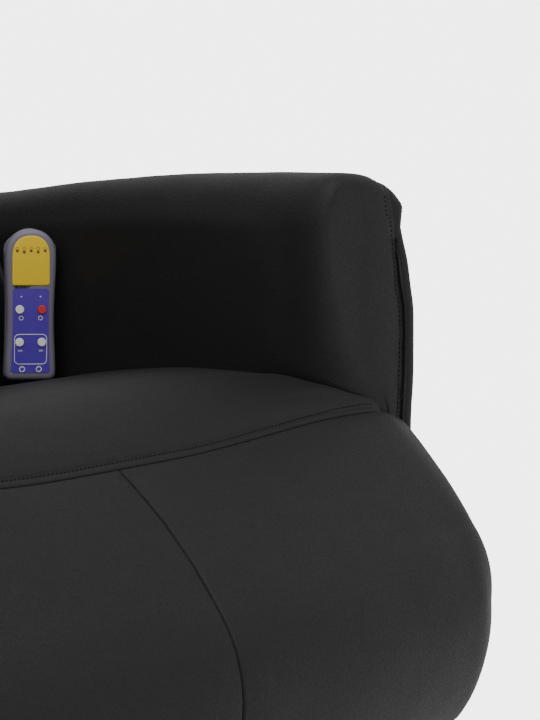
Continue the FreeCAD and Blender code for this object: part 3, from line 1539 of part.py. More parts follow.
def check_and_write(pieces):
    """Stops on any broken object, then writes each sub-part to its own file."""
    for item in doc.Objects:
        assert not {"Invalid", "Error"} & set(item.State), item.Name + " is broken"
    os.makedirs("parts", exist_ok=True)
    for piece in pieces:
        shape = piece.Shape
        assert not shape.isNull() and shape.isValid(), piece.Label + " is not a valid solid"
        shape.exportStep(f"parts/{piece.Label}.step")


pieces = build_all()
check_and_write(pieces)
print(len(pieces), "sub-parts written")
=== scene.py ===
"""Looks of a massage recliner: sewn leather covers, threads, the control's prints and the finish of every piece."""

import math

import bpy
import numpy as np
from mathutils import Matrix, Vector, noise
from mathutils.bvhtree import BVHTree


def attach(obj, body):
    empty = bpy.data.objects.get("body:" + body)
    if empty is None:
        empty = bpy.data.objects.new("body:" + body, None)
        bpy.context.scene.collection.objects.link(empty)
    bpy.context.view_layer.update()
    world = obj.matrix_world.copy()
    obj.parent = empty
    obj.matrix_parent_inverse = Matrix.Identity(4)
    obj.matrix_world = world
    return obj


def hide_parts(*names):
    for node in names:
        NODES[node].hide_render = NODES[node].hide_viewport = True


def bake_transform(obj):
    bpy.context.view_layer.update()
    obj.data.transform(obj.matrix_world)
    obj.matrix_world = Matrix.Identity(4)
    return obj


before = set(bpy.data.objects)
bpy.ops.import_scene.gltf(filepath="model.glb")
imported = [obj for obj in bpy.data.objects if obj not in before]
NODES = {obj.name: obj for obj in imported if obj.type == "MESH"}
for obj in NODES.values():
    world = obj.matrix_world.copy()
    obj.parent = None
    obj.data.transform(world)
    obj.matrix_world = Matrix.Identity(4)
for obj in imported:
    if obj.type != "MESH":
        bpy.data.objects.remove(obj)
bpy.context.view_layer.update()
MM = 0.001

# Places taken from the construction, in millimetres
ARM_IN, ARM_OUT = 265.0, 377.0
ARM_FRONT, ARM_REAR, ARM_LOW = -270.0, 300.0, 70.0
SEAT_HALF, SEAT_EAR = 264.5, 342.0
BACK_HALF, BACK_FOOT, BACK_LEAN = 258.0, (185.0, 385.0), math.radians(18)

# The seam where the seat is sewn to the leg rest: its height at places across the chair
SEAM_ACROSS = [0, 50, 87, 136, 189, 224, 259, 289, 319, 335, 350, 362, 374, 386]
SEAM_HEIGHT = [449.3, 449.2, 449.4, 451.5, 454.4, 456.3, 457.3, 456.5, 455, 453.2, 449, 444.5, 438, 424]

# The arm's front seam: how far out it runs at each height
FRONT_SEAM_HEIGHT = [70, 437, 477, 519, 546, 562, 599, 622, 652]
FRONT_SEAM_OUT = [372, 375, 378, 379, 378, 372.5, 368.5, 366, 360]

# How far each topstitched line lies from its seam or edge
FRONT_STITCH, TOP_STITCH, SEAT_STITCH, PANEL_STITCH, BACK_STITCH = 6.2, 6.0, 5.3, 13, 9


# ---- shape helpers

def ease(share):
    """A smooth step from 0 to 1."""
    share = np.clip(share, 0.0, 1.0)
    return share * share * (3 - 2 * share)


def quarter(share):
    """How far a quarter circle has turned in, from 0 to 1, at a share of its way."""
    return 1 - math.sqrt(max(1 - max(share, 0) ** 2, 0))


def round_in(radius, depth):
    """How far a rounded edge stands in, at a depth behind its face."""
    gap = np.clip(radius - depth, 0.0, radius)
    return radius - np.sqrt(np.maximum(radius * radius - gap * gap, 0.0))


def dip(distance, width, depth):
    """The hollow of a sewn seam at a distance from its line."""
    return depth * np.exp(-((distance / width) ** 2))


def around(across, up, radius, turns):
    """Points on a circle at the given turns."""
    return [(across + radius * math.cos(turn), up + radius * math.sin(turn)) for turn in turns]


def mirrored(row):
    """A flat row of points on the other side, run the other way."""
    return [(-across, up) for across, up in row[::-1]]


def arc_points(start, end, swell, count):
    """Points on the arc from start to end, which stands out to its left by swell; the end itself is left off.
    count is how many points, or the shares of the way at which they lie."""
    start, end = np.array(start, float), np.array(end, float)
    chord = end - start
    length = np.linalg.norm(chord)
    shares = np.linspace(0, 1, count, endpoint=False) if isinstance(count, int) else count
    if not swell:
        return [start + chord * share for share in shares]
    side = np.array([-chord[1], chord[0]]) / length
    way = 1 if swell > 0 else -1
    radius = (length * length / 4 + swell * swell) / (2 * abs(swell))
    middle = start + chord / 2 - side * way * (radius - abs(swell))
    first = start - middle
    sweep = -way * 2 * math.asin(min(length / 2 / radius, 1.0))
    found = []
    for share in shares:
        cos, sin = math.cos(sweep * share), math.sin(sweep * share)
        found.append(middle + np.array([cos * first[0] - sin * first[1], sin * first[0] + cos * first[1]]))
    return found


def trace(start, *legs):
    """Points along arcs that follow each other from start; each leg gives its end, swell and count."""
    found = []
    for end, swell, count in legs:
        found += arc_points(start, end, swell, count)
        start = end
    return found


def band(low, high, count):
    """Faces between two rings of points that are numbered from low and from high."""
    return [(low + k, low + (k + 1) % count, high + (k + 1) % count, high + k) for k in range(count)]


def patch_point(edges, i, j):
    """A point inside a patch between its left, top, right and bottom edges."""
    left, top, right, bottom = edges
    v, u = i / (len(left) - 1), j / (len(top) - 1)
    along = (1 - u) * left[i] + u * right[i]
    across = (1 - v) * bottom[j] + v * top[j]
    corners = (1 - u) * ((1 - v) * left[0] + v * left[-1]) + u * ((1 - v) * right[0] + v * right[-1])
    return along + across - corners


def close_end(points, faces, base, sides, flip):
    """Closes one end of a loft with a patch whose four edges have the given counts."""
    left, top = sides
    index = [*range(base, base + 2 * (left + top)), base]
    rows = [index[:left + 1], index[left:left + top + 1], index[left + top:2 * left + top + 1][::-1],
            index[2 * left + top:][::-1]]
    edges = [np.array([points[k] for k in row]) for row in rows]
    names = np.zeros((left + 1, top + 1), int)
    names[:, 0], names[left, :], names[:, top], names[0, :] = rows
    for i in range(1, left):
        for j in range(1, top):
            names[i, j] = len(points)
            points.append(patch_point(edges, i, j))
    for i in range(left):
        for j in range(top):
            quad = (names[i, j], names[i, j + 1], names[i + 1, j + 1], names[i + 1, j])
            faces.append(tuple(int(k) for k in (quad[::-1] if flip else quad)))


def loft(rings, sides):
    """Points and faces of a closed form through rings, each with four edges of the given counts."""
    count = 2 * sum(sides)
    points = [np.asarray(point, float) for ring in rings for point in ring]
    faces = []
    for number in range(len(rings) - 1):
        faces += band(number * count, (number + 1) * count, count)
    close_end(points, faces, 0, sides, False)
    close_end(points, faces, (len(rings) - 1) * count, sides, True)
    points = np.array(points)
    corners = points[np.array(faces)]
    volume = sum(np.einsum("ij,ij->", corners[:, 0], np.cross(corners[:, k], corners[:, k + 1])) for k in (1, 2))
    return points, faces if volume > 0 else [face[::-1] for face in faces]


def vertex_normals(points, faces):
    """The way out of the surface at each point."""
    quads = np.array(faces)
    cross = np.cross(points[quads[:, 2]] - points[quads[:, 0]], points[quads[:, 3]] - points[quads[:, 1]])
    normals = np.zeros_like(points)
    for k in range(4):
        np.add.at(normals, quads[:, k], cross)
    return normals / np.maximum(np.linalg.norm(normals, axis=1, keepdims=True), 1e-9)


def unevenness(points, size, seed):
    """Soft noise from -1 to 1 over the points; size is the hump's length, or its lengths along the three axes."""
    size = np.broadcast_to(np.array(size, float), (3,))
    return np.array([noise.noise(Vector(point / size) + Vector((seed, seed * 1.7, -seed))) for point in points])


def plain_mesh(name, points, faces):
    """A mesh from points in millimetres."""
    mesh = bpy.data.meshes.new(name)
    mesh.from_pydata([tuple(point * MM) for point in points], [], faces)
    mesh.polygons.foreach_set("use_smooth", [True] * len(faces))
    return mesh


def add_object(name, data):
    made = bpy.data.objects.new(name, data)
    bpy.context.scene.collection.objects.link(made)
    return made


def taken_out(trial):
    """Points in millimetres and faces of a trial object with its modifiers done; the trial itself is removed."""
    done = trial.evaluated_get(bpy.context.evaluated_depsgraph_get()).data
    found = np.array([v.co for v in done.vertices], float) / MM, [tuple(face.vertices) for face in done.polygons]
    mesh = trial.data
    bpy.data.objects.remove(trial)
    bpy.data.meshes.remove(mesh)
    return found


def refined(points, faces):
    """One smooth subdivision of the form."""
    trial = add_object("trial", plain_mesh("trial", points, faces))
    trial.modifiers.new("smooth", "SUBSURF").levels = 1
    return taken_out(trial)


# The leather as cloth, the frames that it is blown up for, and how far a point may slide along the form
CLOTH = dict(vertex_group_mass="held", use_pressure=True, uniform_pressure_force=4.0, quality=4,
             tension_stiffness=18, compression_stiffness=12, bending_stiffness=0.6)
CLOTH_FRAMES, CLOTH_SLIDE = 20, 2.0


def puff(points, faces, held, swell, shrink):
    """The form after its cover is blown up as cloth: held points stay, and no point moves out beyond swell."""
    trial = add_object("trial", plain_mesh("trial", points, faces))
    group = trial.vertex_groups.new(name="held")
    for index in np.nonzero(held > 0.01)[0]:
        group.add([int(index)], float(min(held[index], 1.0)), "REPLACE")
    cloth = trial.modifiers.new("cloth", "CLOTH")
    for name, value in CLOTH.items():
        setattr(cloth.settings, name, value)
    cloth.settings.effector_weights.gravity = 0
    cloth.collision_settings.use_collision = False
    cloth.point_cache.frame_start = 1
    cloth.point_cache.frame_end = CLOTH_FRAMES
    for number in range(1, CLOTH_FRAMES + 1):
        bpy.context.scene.frame_set(number)
    shift = taken_out(trial)[0] - points
    bpy.context.scene.frame_set(1)
    normals = vertex_normals(points, faces)
    out = np.einsum("ij,ij->i", shift, normals)[:, None]
    along = shift - out * normals
    out = np.where(out > 0, swell * np.tanh(out / swell), shrink * np.tanh(out / shrink))
    length = np.maximum(np.linalg.norm(along, axis=1, keepdims=True), 1e-9)
    along = along * (CLOTH_SLIDE * np.tanh(length / CLOTH_SLIDE) / length)
    return points + (out * normals + along) * (1 - np.clip(held, 0, 1))[:, None]


def sewn_form(points, faces, relief, held=None, swell=0.0, shrink=0.3):
    """The form blown up as cloth if it is told where it is held, smoothed once and given its relief."""
    if held is not None:
        points = puff(points, faces, held, swell, shrink)
    points, faces = refined(points, faces)
    normals = vertex_normals(points, faces)
    return points + normals * relief(points, normals)[:, None], faces


def add_piece(name, points, faces, material, body, slot):
    """A piece from points in millimetres that moves with a body, or with none."""
    mesh = plain_mesh(name, points, faces)
    mesh.materials.append(material)
    piece = add_object(name, mesh)
    if body:
        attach(piece, body)
    return piece


def cover(name, form, body, node):
    """A padded leather piece that stands for a node."""
    piece = add_piece(name, *form, LEATHER, body, "dark_leather")
    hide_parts(node)
    return piece


# ---- threads and cords

STITCH_PITCH, STITCH_LONG, THREAD_THICK, THREAD_FLAT = 4.4, 3.3, 0.5, 0.8
THREAD_TURNS, CORD_TURNS = [math.pi * k / 3 for k in range(6)], [math.pi * k / 4 for k in range(8)]

# A stitch along its length: share of the way, share of the thread's thickness, and how far it lies off the leather
STITCH_SHAPE = [(0.0, 0.35, -0.45), (0.18, 0.9, 0.1), (0.5, 1.0, 0.3), (0.82, 0.9, 0.1), (1.0, 0.35, -0.45)]


def tube(rings, points, faces):
    """Adds a closed tube through rings of points."""
    first, count = len(points), len(rings[0])
    starts = [first + number * count for number in range(len(rings))]
    for ring in rings:
        points.extend(ring)
    for low, high in zip(starts, starts[1:]):
        faces += band(low, high, count)
    faces.append(tuple(range(first, first + count))[::-1])
    faces.append(tuple(range(starts[-1], starts[-1] + count)))


def stitch_form(start, end, normal, points, faces):
    """One stitch: a thread that rises out of the leather, lies on it and dips in again."""
    along = (end - start) / np.linalg.norm(end - start)
    side = np.cross(normal, along)
    rings = []
    for share, thick, lift in STITCH_SHAPE:
        centre, reach = start + (end - start) * share + normal * lift, THREAD_THICK * thick
        rings.append([centre + (side * math.cos(turn) + normal * math.sin(turn) * THREAD_FLAT) * reach
                      for turn in THREAD_TURNS])
    tube(rings, points, faces)


def stitch_row(tree, path, way, points, faces):
    """Adds a row of stitches laid on a surface under a path of points."""
    way = Vector(way).normalized()
    hits = [hit for hit in (tree.ray_cast(Vector(point), way) for point in path) if hit[0] is not None]
    places = np.array([np.array(hit[0]) for hit in hits])
    normals = np.array([np.array(hit[1] if hit[1].dot(way) < 0 else -hit[1]) for hit in hits])
    run = np.concatenate([[0], np.cumsum(np.linalg.norm(np.diff(places, axis=0), axis=1))])
    at = lambda values, distance: np.array([np.interp(distance, run, values[:, k]) for k in range(3)])
    for number in range(int((run[-1] - STITCH_LONG) / STITCH_PITCH)):
        begin = number * STITCH_PITCH
        normal = at(normals, begin + STITCH_LONG / 2)
        normal = normal / np.linalg.norm(normal)
        stitch_form(at(places, begin), at(places, begin + STITCH_LONG), normal, points, faces)


def sew(name, form, rows, body):
    """Topstitching on a form: each row is a path of points over it and the way down to it."""
    tree = BVHTree.FromPolygons([tuple(point) for point in form[0]], form[1])
    points, faces = [], []
    for path, way in rows:
        stitch_row(tree, path, way, points, faces)
    add_piece(name, np.array(points), faces, THREAD, body, "dark_leather")


def cord(path, reach):
    """Points and faces of a leather cord along a path of points."""
    path = np.array(path, float)
    ahead = np.roll(path, -1, 0) - np.roll(path, 1, 0)
    ahead[0], ahead[-1] = path[1] - path[0], path[-1] - path[-2]
    ahead /= np.linalg.norm(ahead, axis=1, keepdims=True)
    side = np.cross(ahead[0], (0.31, 0.17, 0.93))
    rings, points, faces = [], [], []
    for centre, way in zip(path, ahead):
        side = side - way * np.dot(side, way)
        side /= np.linalg.norm(side)
        up = np.cross(way, side)
        rings.append([centre + (side * math.cos(turn) + up * math.sin(turn)) * reach for turn in CORD_TURNS])
    tube(rings, points, faces)
    return np.array(points), faces


# ---- effects that several finishes share

def feed(tree, socket, value):
    """Links a socket to another one, or sets its value; a colour's three numbers get their fourth."""
    if isinstance(value, bpy.types.NodeSocket):
        tree.links.new(value, socket)
    else:
        socket.default_value = (*value, 1) if socket.type == "RGBA" else value


def add_node(tree, kind, *values, **named):
    """A node: values go to its sockets in order, small names are settings and capital names are sockets."""
    made = tree.nodes.new("ShaderNode" + kind)
    for name in [name for name in named if name[0].islower()]:
        setattr(made, name, named.pop(name))
    for socket, value in [*enumerate(values), *named.items()]:
        feed(tree, made.inputs[socket.replace("_", " ") if isinstance(socket, str) else socket], value)
    return made


def reckon(tree, operation, *values):
    """A sum, product or other reckoning of values or sockets."""
    return add_node(tree, "Math", *values, operation=operation).outputs[0]


def times(tree, product, *others):
    """The product of values or sockets."""
    for other in others:
        product = reckon(tree, "MULTIPLY", product, other)
    return product


def spread(tree, value, low, high, out_low=0.0, out_high=1.0):
    """A value carried smoothly from one range to another."""
    return add_node(tree, "MapRange", Value=value, From_Min=low, From_Max=high, To_Min=out_low, To_Max=out_high,
                    interpolation_type="SMOOTHSTEP").outputs[0]


def resting_place(tree):
    """Each point's place on the resting chair, in metres."""
    return add_node(tree, "TexCoord").outputs["Object"]


def mapped(tree, **changes):
    """Each point's resting place, turned or stretched."""
    return add_node(tree, "Mapping", Vector=resting_place(tree), **changes).outputs[0]


def coordinate(tree, axis):
    """One coordinate of each point's place on the resting chair."""
    return add_node(tree, "SeparateXYZ", resting_place(tree)).outputs[axis]


def cloudy(tree, scale, detail=2.0, rough=0.5, place=None):
    """Soft noise between 0 and 1, over the resting chair unless another place is given."""
    place = resting_place(tree) if place is None else place
    return add_node(tree, "TexNoise", Vector=place, Scale=scale, Detail=detail, Roughness=rough).outputs["Fac"]


def mixed(tree, share, low, high):
    """A colour between two by a share; either may be a colour or a socket."""
    mix = tree.nodes.new("ShaderNodeMix")
    mix.data_type = "RGBA"
    for number, value in ((0, share), (6, low), (7, high)):
        feed(tree, mix.inputs[number], value)
    return mix.outputs[2]


def new_effect(build, **inputs):
    """A shader group with named inputs; build works out its outputs and names them."""
    group = bpy.data.node_groups.new(build.__name__, "ShaderNodeTree")
    for label, value in inputs.items():
        group.interface.new_socket(name=label, in_out="INPUT", socket_type="NodeSocketFloat").default_value = value
    made = build(group, group.nodes.new("NodeGroupInput").outputs)
    for label in made:
        group.interface.new_socket(name=label, in_out="OUTPUT", socket_type="NodeSocketFloat")
    out = group.nodes.new("NodeGroupOutput").inputs
    for label, value in made.items():
        group.links.new(value, out[label])
    return group


def leather_grain(group, given):
    """Pebbled hide: raised pebbles of uneven size, fine creases and slow changes of tone."""
    place = resting_place(group)
    drift = add_node(group, "TexNoise", Vector=place, Scale=210.0, Detail=2.0).outputs["Color"]
    bent = add_node(group, "VectorMath", drift, (0.0016,) * 3, place, operation="MULTIPLY_ADD").outputs[0]
    pebbles = add_node(group, "TexVoronoi", Vector=bent, Scale=given["Pebbles"], Smoothness=0.35,
                       feature="SMOOTH_F1")
    rise = spread(group, pebbles.outputs["Distance"], 0.1, 0.75, 1.0, 0.0)
    lines = add_node(group, "TexVoronoi", Vector=bent, Scale=times(group, given["Pebbles"], 0.32),
                     feature="DISTANCE_TO_EDGE")
    crease = spread(group, lines.outputs["Distance"], 0.0, 0.09, 1.0, 0.0)
    patchy = cloudy(group, given["Mottle"], 3.0, 0.55)
    strong = times(group, rise, spread(group, patchy, 0.25, 0.75, 0.55, 1.0))
    return {"Height": reckon(group, "SUBTRACT", strong, times(group, given["Creases"], patchy, crease)),
            "Tone": reckon(group, "MULTIPLY_ADD", rise, 0.6, times(group, patchy, 0.4))}


def edge_wear_and_sheen(group, given):
    """Lighter corners that stand out, broken up by noise: rubbed wear on steel and plastic, and a painted sheen on
    the leather's crests.
    """
    sharp = add_node(group, "NewGeometry").outputs["Pointiness"]
    edge = spread(group, sharp, given["Start"], reckon(group, "ADD", given["Start"], 0.06))
    broken = spread(group, cloudy(group, 90.0, 4.0, 0.7), 0.42, 0.66)
    return {"Mask": times(group, edge, broken, given["Amount"])}


def settled_dust(group, given):
    """Dust that lies on upward faces and in patches."""
    up = add_node(group, "SeparateXYZ", add_node(group, "NewGeometry").outputs["Normal"]).outputs["Z"]
    patches = spread(group, cloudy(group, 22.0, 5.0, 0.65), 0.35, 0.75)
    return {"Mask": times(group, spread(group, up, 0.2, 0.95), patches, given["Amount"])}


def moulded_skin(group, given):
    """The fine stipple of a moulded face, with faint flow marks in its tone."""
    return {"Height": cloudy(group, given["Stipple"]), "Tone": cloudy(group, given["Flow"], 3.0, 0.6)}


def metal_skin(group, given):
    """The skin of metal: a fine grain, soft lumps and a few scratches."""
    grain, lumps = cloudy(group, given["Grain"], 2.0, 0.6), cloudy(group, given["Lumps"], 4.0, 0.6)
    drawn = mapped(group, Rotation=(0.3, 0.5, 0.9), Scale=(14.0, 260.0, 260.0))
    worn = times(group, spread(group, cloudy(group, 1.0, 3.0, 0.6, drawn), 0.62, 0.7), given["Scratches"])
    height = reckon(group, "MULTIPLY_ADD", grain, 0.35, times(group, lumps, 0.65))
    tone = reckon(group, "MULTIPLY_ADD", worn, 0.5, lumps)
    return {"Height": reckon(group, "SUBTRACT", height, worn), "Tone": tone}


LEATHER_GRAIN = new_effect(leather_grain, Pebbles=560.0, Mottle=55.0, Creases=0.3)
EDGE_WEAR_AND_SHEEN = new_effect(edge_wear_and_sheen, Start=0.53, Amount=1.0)
DUST = new_effect(settled_dust, Amount=0.3)
MOULDED_SKIN = new_effect(moulded_skin, Stipple=900.0, Flow=14.0)
METAL_SKIN = new_effect(metal_skin, Grain=700.0, Lumps=45.0, Scratches=0.4)


# ---- finishes

def with_effect(tree, effect, **values):
    """The outputs of an effect placed in a material with its own values."""
    return add_node(tree, "Group", node_tree=effect, **values).outputs


def dusty(tree, colour, amount, dust):
    """A colour under patches of dust."""
    return mixed(tree, with_effect(tree, DUST, Amount=amount)["Mask"], colour, dust)


def new_finish(name, **constants):
    """A material with its shader and the values that are the same all over it."""
    material = bpy.data.materials.new(name)
    material.use_nodes = True
    tree = material.node_tree
    shader = tree.nodes["Principled BSDF"]
    for socket, value in constants.items():
        shader.inputs[socket.replace("_", " ")].default_value = value
    return material, tree, shader


def give_surface(tree, shader, colour, rough, height=None, relief=None):
    """Leads a colour, a roughness (a value with its two ranges) and a relief (strength, metres) to the shader."""
    tree.links.new(colour, shader.inputs["Base Color"])
    tree.links.new(spread(tree, *rough), shader.inputs["Roughness"])
    if relief:
        bump = add_node(tree, "Bump", Height=height, Strength=relief[0], Distance=relief[1])
        tree.links.new(bump.outputs[0], shader.inputs["Normal"])


def skinned(name, skin, values, tones, rough, relief, rub=None, dust=None, bare=0.0, **constants):
    """A finish over one of the skins, in two tones, whose roughness follows one of the skin's outputs.
    rub is the start, amount and colour of its lighter edges, which are worn edges and on the leather a painted sheen,
    bare how metallic they are, dust its amount and colour."""
    material, tree, shader = new_finish(name, **constants)
    skin = with_effect(tree, skin, **values)
    colour = mixed(tree, skin["Tone"], *tones)
    if rub:
        # Edges painted lighter: rubbed wear, and on the leather a painted sheen.
        worn = with_effect(tree, EDGE_WEAR_AND_SHEEN, Start=rub[0], Amount=rub[1])["Mask"]
        colour = mixed(tree, worn, colour, rub[2])
        if bare:
            tree.links.new(times(tree, worn, bare), shader.inputs["Metallic"])
    if dust:
        colour = dusty(tree, colour, *dust)
    give_surface(tree, shader, colour, (skin[rough[0]], *rough[1:]), skin["Height"], relief)
    return material


def moulded(name, dark, pale, rough, stipple=900.0, relief=0.3, rub=0.3, dust=None, **constants):
    """Moulded plastic: a stippled skin, faint flow marks and lighter edges."""
    lighter = tuple(min(1.0, 1.25 * value + 0.04) for value in pale)
    return skinned(name, MOULDED_SKIN, dict(Stipple=stipple, Flow=16.0), (dark, pale),
                   ("Height", 0.2, 0.8, rough + 0.08, rough - 0.06), (relief, 0.0003), (0.53, rub, lighter), dust,
                   **constants)


def bare_metal(name, dark, pale, rough, relief, **values):
    """Plated or cast metal, rubbed bright on its edges; values are its grain and its lumps."""
    return skinned(name, METAL_SKIN, dict(Scratches=0.35, **values), (dark, pale),
                   ("Tone", 0.25, 0.85, rough + 0.1, rough - 0.08), relief, (0.53, 0.7, (0.82, 0.82, 0.82)),
                   (0.1, (0.4, 0.38, 0.35)), Metallic=1.0)


def thread():
    """Black polyester thread, twisted, painted darker than the leather as painted shade of its stitch grooves."""
    material, tree, shader = new_finish("black_thread_with_painted_shade", Specular_IOR_Level=0.12)
    place = mapped(tree, Rotation=(0.6, 0.6, 0.6))
    twist = add_node(tree, "TexWave", Vector=place, Scale=420.0, Distortion=1.5).outputs["Fac"]
    # Near black, below the leather's tone: the thread's own black and painted shade of the stitched groove.
    colour = mixed(tree, twist, (0.0012, 0.0012, 0.0014), (0.004, 0.004, 0.0042))
    give_surface(tree, shader, colour, (twist, 0.0, 1.0, 0.85, 0.65), twist, (0.5, 0.0002))
    return material


# A layer's thickness in metres, and what its share of the wave is multiplied by to run from 0 to 1
PLY_THICK, PLY_SHARE = 0.0018, 555.0


def plywood(name, layered, grain_way):
    """Birch plywood: glued layers along one axis and grain drawn along another."""
    material, tree, shader = new_finish(name, Specular_IOR_Level=0.3)
    stretch = [170.0, 170.0, 170.0]
    stretch["XYZ".index(grain_way)] = 9.0
    grain = cloudy(tree, 1.0, 4.0, 0.62, mapped(tree, Scale=stretch))
    layer = reckon(tree, "PINGPONG", coordinate(tree, layered), PLY_THICK)
    wood = mixed(tree, grain, (0.42, 0.27, 0.15), (0.68, 0.5, 0.31))
    layers = mixed(tree, spread(tree, times(tree, layer, PLY_SHARE), 0.35, 0.65), wood, (0.33, 0.2, 0.1))
    colour = dusty(tree, layers, 0.3, (0.55, 0.52, 0.47))
    give_surface(tree, shader, colour, (grain, 0.3, 0.7, 0.62, 0.8), grain, (0.4, 0.0004))
    return material


def webbing(name, across, along):
    """Woven elastic webbing: ribs across the strap, crossed by its warp."""
    material, tree, shader = new_finish(name, Specular_IOR_Level=0.2, Sheen_Weight=0.2, Sheen_Roughness=0.5)
    ribs, warp = (reckon(tree, "SINE", times(tree, coordinate(tree, axis), pitch))
                  for axis, pitch in ((along, 2400.0), (across, 3600.0)))
    weave = spread(tree, times(tree, ribs, warp), -1.0, 1.0)
    fuzz = cloudy(tree, 1500.0, 2.0, 0.6)
    tone = reckon(tree, "MULTIPLY_ADD", fuzz, 0.4, times(tree, weave, 0.6))
    yarn = mixed(tree, tone, (0.012, 0.012, 0.013), (0.06, 0.058, 0.056))
    colour = dusty(tree, yarn, 0.2, (0.3, 0.28, 0.25))
    give_surface(tree, shader, colour, (fuzz, 0.2, 0.8, 0.8, 0.95), weave, (0.7, 0.0008))
    return material


def circuit_board():
    """Green solder mask over copper tracks."""
    material, tree, shader = new_finish("circuit_board", Specular_IOR_Level=0.5)
    cells = add_node(tree, "TexBrick", Vector=resting_place(tree), Scale=260.0, Mortar_Size=0.06)
    tracks = spread(tree, cells.outputs["Fac"], 0.2, 0.8)
    cloud = cloudy(tree, 120.0, 3.0, 0.6)
    colour = mixed(tree, tracks, mixed(tree, cloud, (0.004, 0.05, 0.014), (0.01, 0.1, 0.03)), (0.03, 0.2, 0.05))
    give_surface(tree, shader, colour, (cloud, 0.2, 0.8, 0.3, 0.42), tracks, (0.4, 0.0002))
    return material


# How bright the studio's backdrop is to the camera, and how much of that the floor has from the lamps alone
BACKDROP_GLOW, FLOOR_LIT = 4.5, 1.1


def pale_floor():
    """The studio's pale floor, with the faintest unevenness, lit from within like a light table."""
    material, tree, shader = new_finish("pale_floor", Specular_IOR_Level=0.1, Emission_Color=(1, 1, 1, 1))
    cloud = cloudy(tree, 1.5, 3.0)
    colour = mixed(tree, cloud, (0.88, 0.88, 0.88), (0.9, 0.9, 0.9))
    give_surface(tree, shader, colour, (cloud, 0.2, 0.8, 0.8, 0.9))
    seen = add_node(tree, "LightPath").outputs["Is Camera Ray"]
    tree.links.new(times(tree, seen, BACKDROP_GLOW - FLOOR_LIT), shader.inputs["Emission Strength"])
    return material


# Black bonded leather with a faint sheen and crests painted lighter as a painted sheen, and its thread
LEATHER = skinned("dark_leather", LEATHER_GRAIN, dict(Pebbles=520.0, Mottle=40.0, Creases=0.35),
                  ((0.0062, 0.0062, 0.0065), (0.0108, 0.0107, 0.0109)), ("Tone", 0.2, 0.8, 0.63, 0.54),
                  # The last colour is for the crests: a painted sheen on the leather's rounded edges.
                  (0.36, 0.0004), (0.515, 0.35, (0.02, 0.0195, 0.0195)),
                  Specular_IOR_Level=0.25, Sheen_Weight=0.02, Sheen_Roughness=0.5)
THREAD = thread()

# Black powder coat over steel, rubbed to bare metal on its edges
STEEL = skinned("coated_steel", METAL_SKIN, dict(Grain=1100.0, Lumps=160.0, Scratches=0.15),
                ((0.008, 0.008, 0.009), (0.022, 0.022, 0.023)), ("Tone", 0.2, 0.9, 0.52, 0.36), (0.35, 0.0004),
                (0.56, 0.2, (0.3, 0.3, 0.31)), (0.25, (0.24, 0.23, 0.21)), 0.9, Specular_IOR_Level=0.4)
BLACK_PLASTIC = moulded("black_plastic", (0.012, 0.012, 0.013), (0.026, 0.026, 0.027), 0.5,
                        dust=(0.12, (0.3, 0.29, 0.27)), Specular_IOR_Level=0.4)
ZINC = bare_metal("zinc_steel", (0.42, 0.43, 0.45), (0.6, 0.61, 0.63), 0.34, (0.4, 0.0004),
                  Grain=1300.0, Lumps=120.0)
CAST = bare_metal("cast_alloy", (0.3, 0.3, 0.31), (0.46, 0.46, 0.47), 0.55, (0.7, 0.0008),
                  Grain=520.0, Lumps=90.0)
NYLON = moulded("nylon", (0.5, 0.49, 0.45), (0.66, 0.65, 0.6), 0.48, Subsurface_Weight=0.1)
GREY_CASE = moulded("grey_case", (0.135, 0.122, 0.165), (0.165, 0.15, 0.195), 0.5, 1300.0, 0.25)
YELLOW = moulded("yellow_panel", (0.7, 0.47, 0.0), (0.84, 0.58, 0.0), 0.42, 1100.0, 0.18, 0.1)
INDIGO = moulded("indigo_panel", (0.058, 0.018, 0.3), (0.074, 0.026, 0.4), 0.4, 1100.0, 0.18, 0.1)
RED = moulded("red_button", (0.5, 0.022, 0.022), (0.62, 0.035, 0.033), 0.36, 1600.0, 0.15)
WHITE = moulded("white_button", (0.7, 0.7, 0.71), (0.82, 0.82, 0.83), 0.36, 1600.0, 0.15)
PRINT = moulded("white_print", (0.62, 0.6, 0.68), (0.74, 0.72, 0.8), 0.5, 2200.0, 0.1, 0.0)
DARK_PRINT = moulded("dark_print", (0.12, 0.06, 0.01), (0.17, 0.09, 0.015), 0.5, 2200.0, 0.1, 0.0)
LENS = skinned("light_lens", MOULDED_SKIN, dict(Stipple=1500.0, Flow=300.0),
               ((0.09, 0.025, 0.01), (0.25, 0.07, 0.02)), ("Height", 0.2, 0.8, 0.18, 0.3), (0.2, 0.0001),
               Transmission_Weight=0.25, IOR=1.49)

FINISHES = [
    (STEEL, "seat_plate_left seat_plate_right seat_tubes drive_bars legrest_tube legrest_brackets legrest_crank "
            "back_tube back_brackets back_crank"),
    (plywood("plywood_sides", 0, "Y"), "side_frame_left side_frame_right"),
    (plywood("plywood_rails", 2, "X"), "base_rails legrest_board"),
    (plywood("plywood_back", 1, "Z"), "back_posts back_rails"),
    (webbing("webbing_seat", 0, 1), "seat_webbing"),
    (webbing("webbing_back", 2, 0), "back_webbing"),
    (BLACK_PLASTIC, "feet control_box control_box_lid power_inlet seat_motor_cups back_motor_cups"),
    (ZINC, "frame_bolts pivot_bolts box_screws control_screws leg_carriage back_carriage seat_weight_left "
           "seat_weight_right lumbar_weight shoulder_weight"),
    (NYLON, "legrest_bushes back_bushes"),
    (CAST, "drive_housing leg_drive_motor back_drive_motor seat_motors back_motors"),
    (GREY_CASE, "control_case_front control_case_back"),
    (YELLOW, "control_upper_panel"),
    (INDIGO, "control_lower_panel"),
    (LENS, "control_lights"),
    (circuit_board(), "control_board"),
    (RED, "power_button"),
    (WHITE, "massage_button back_button leg_button"),
]


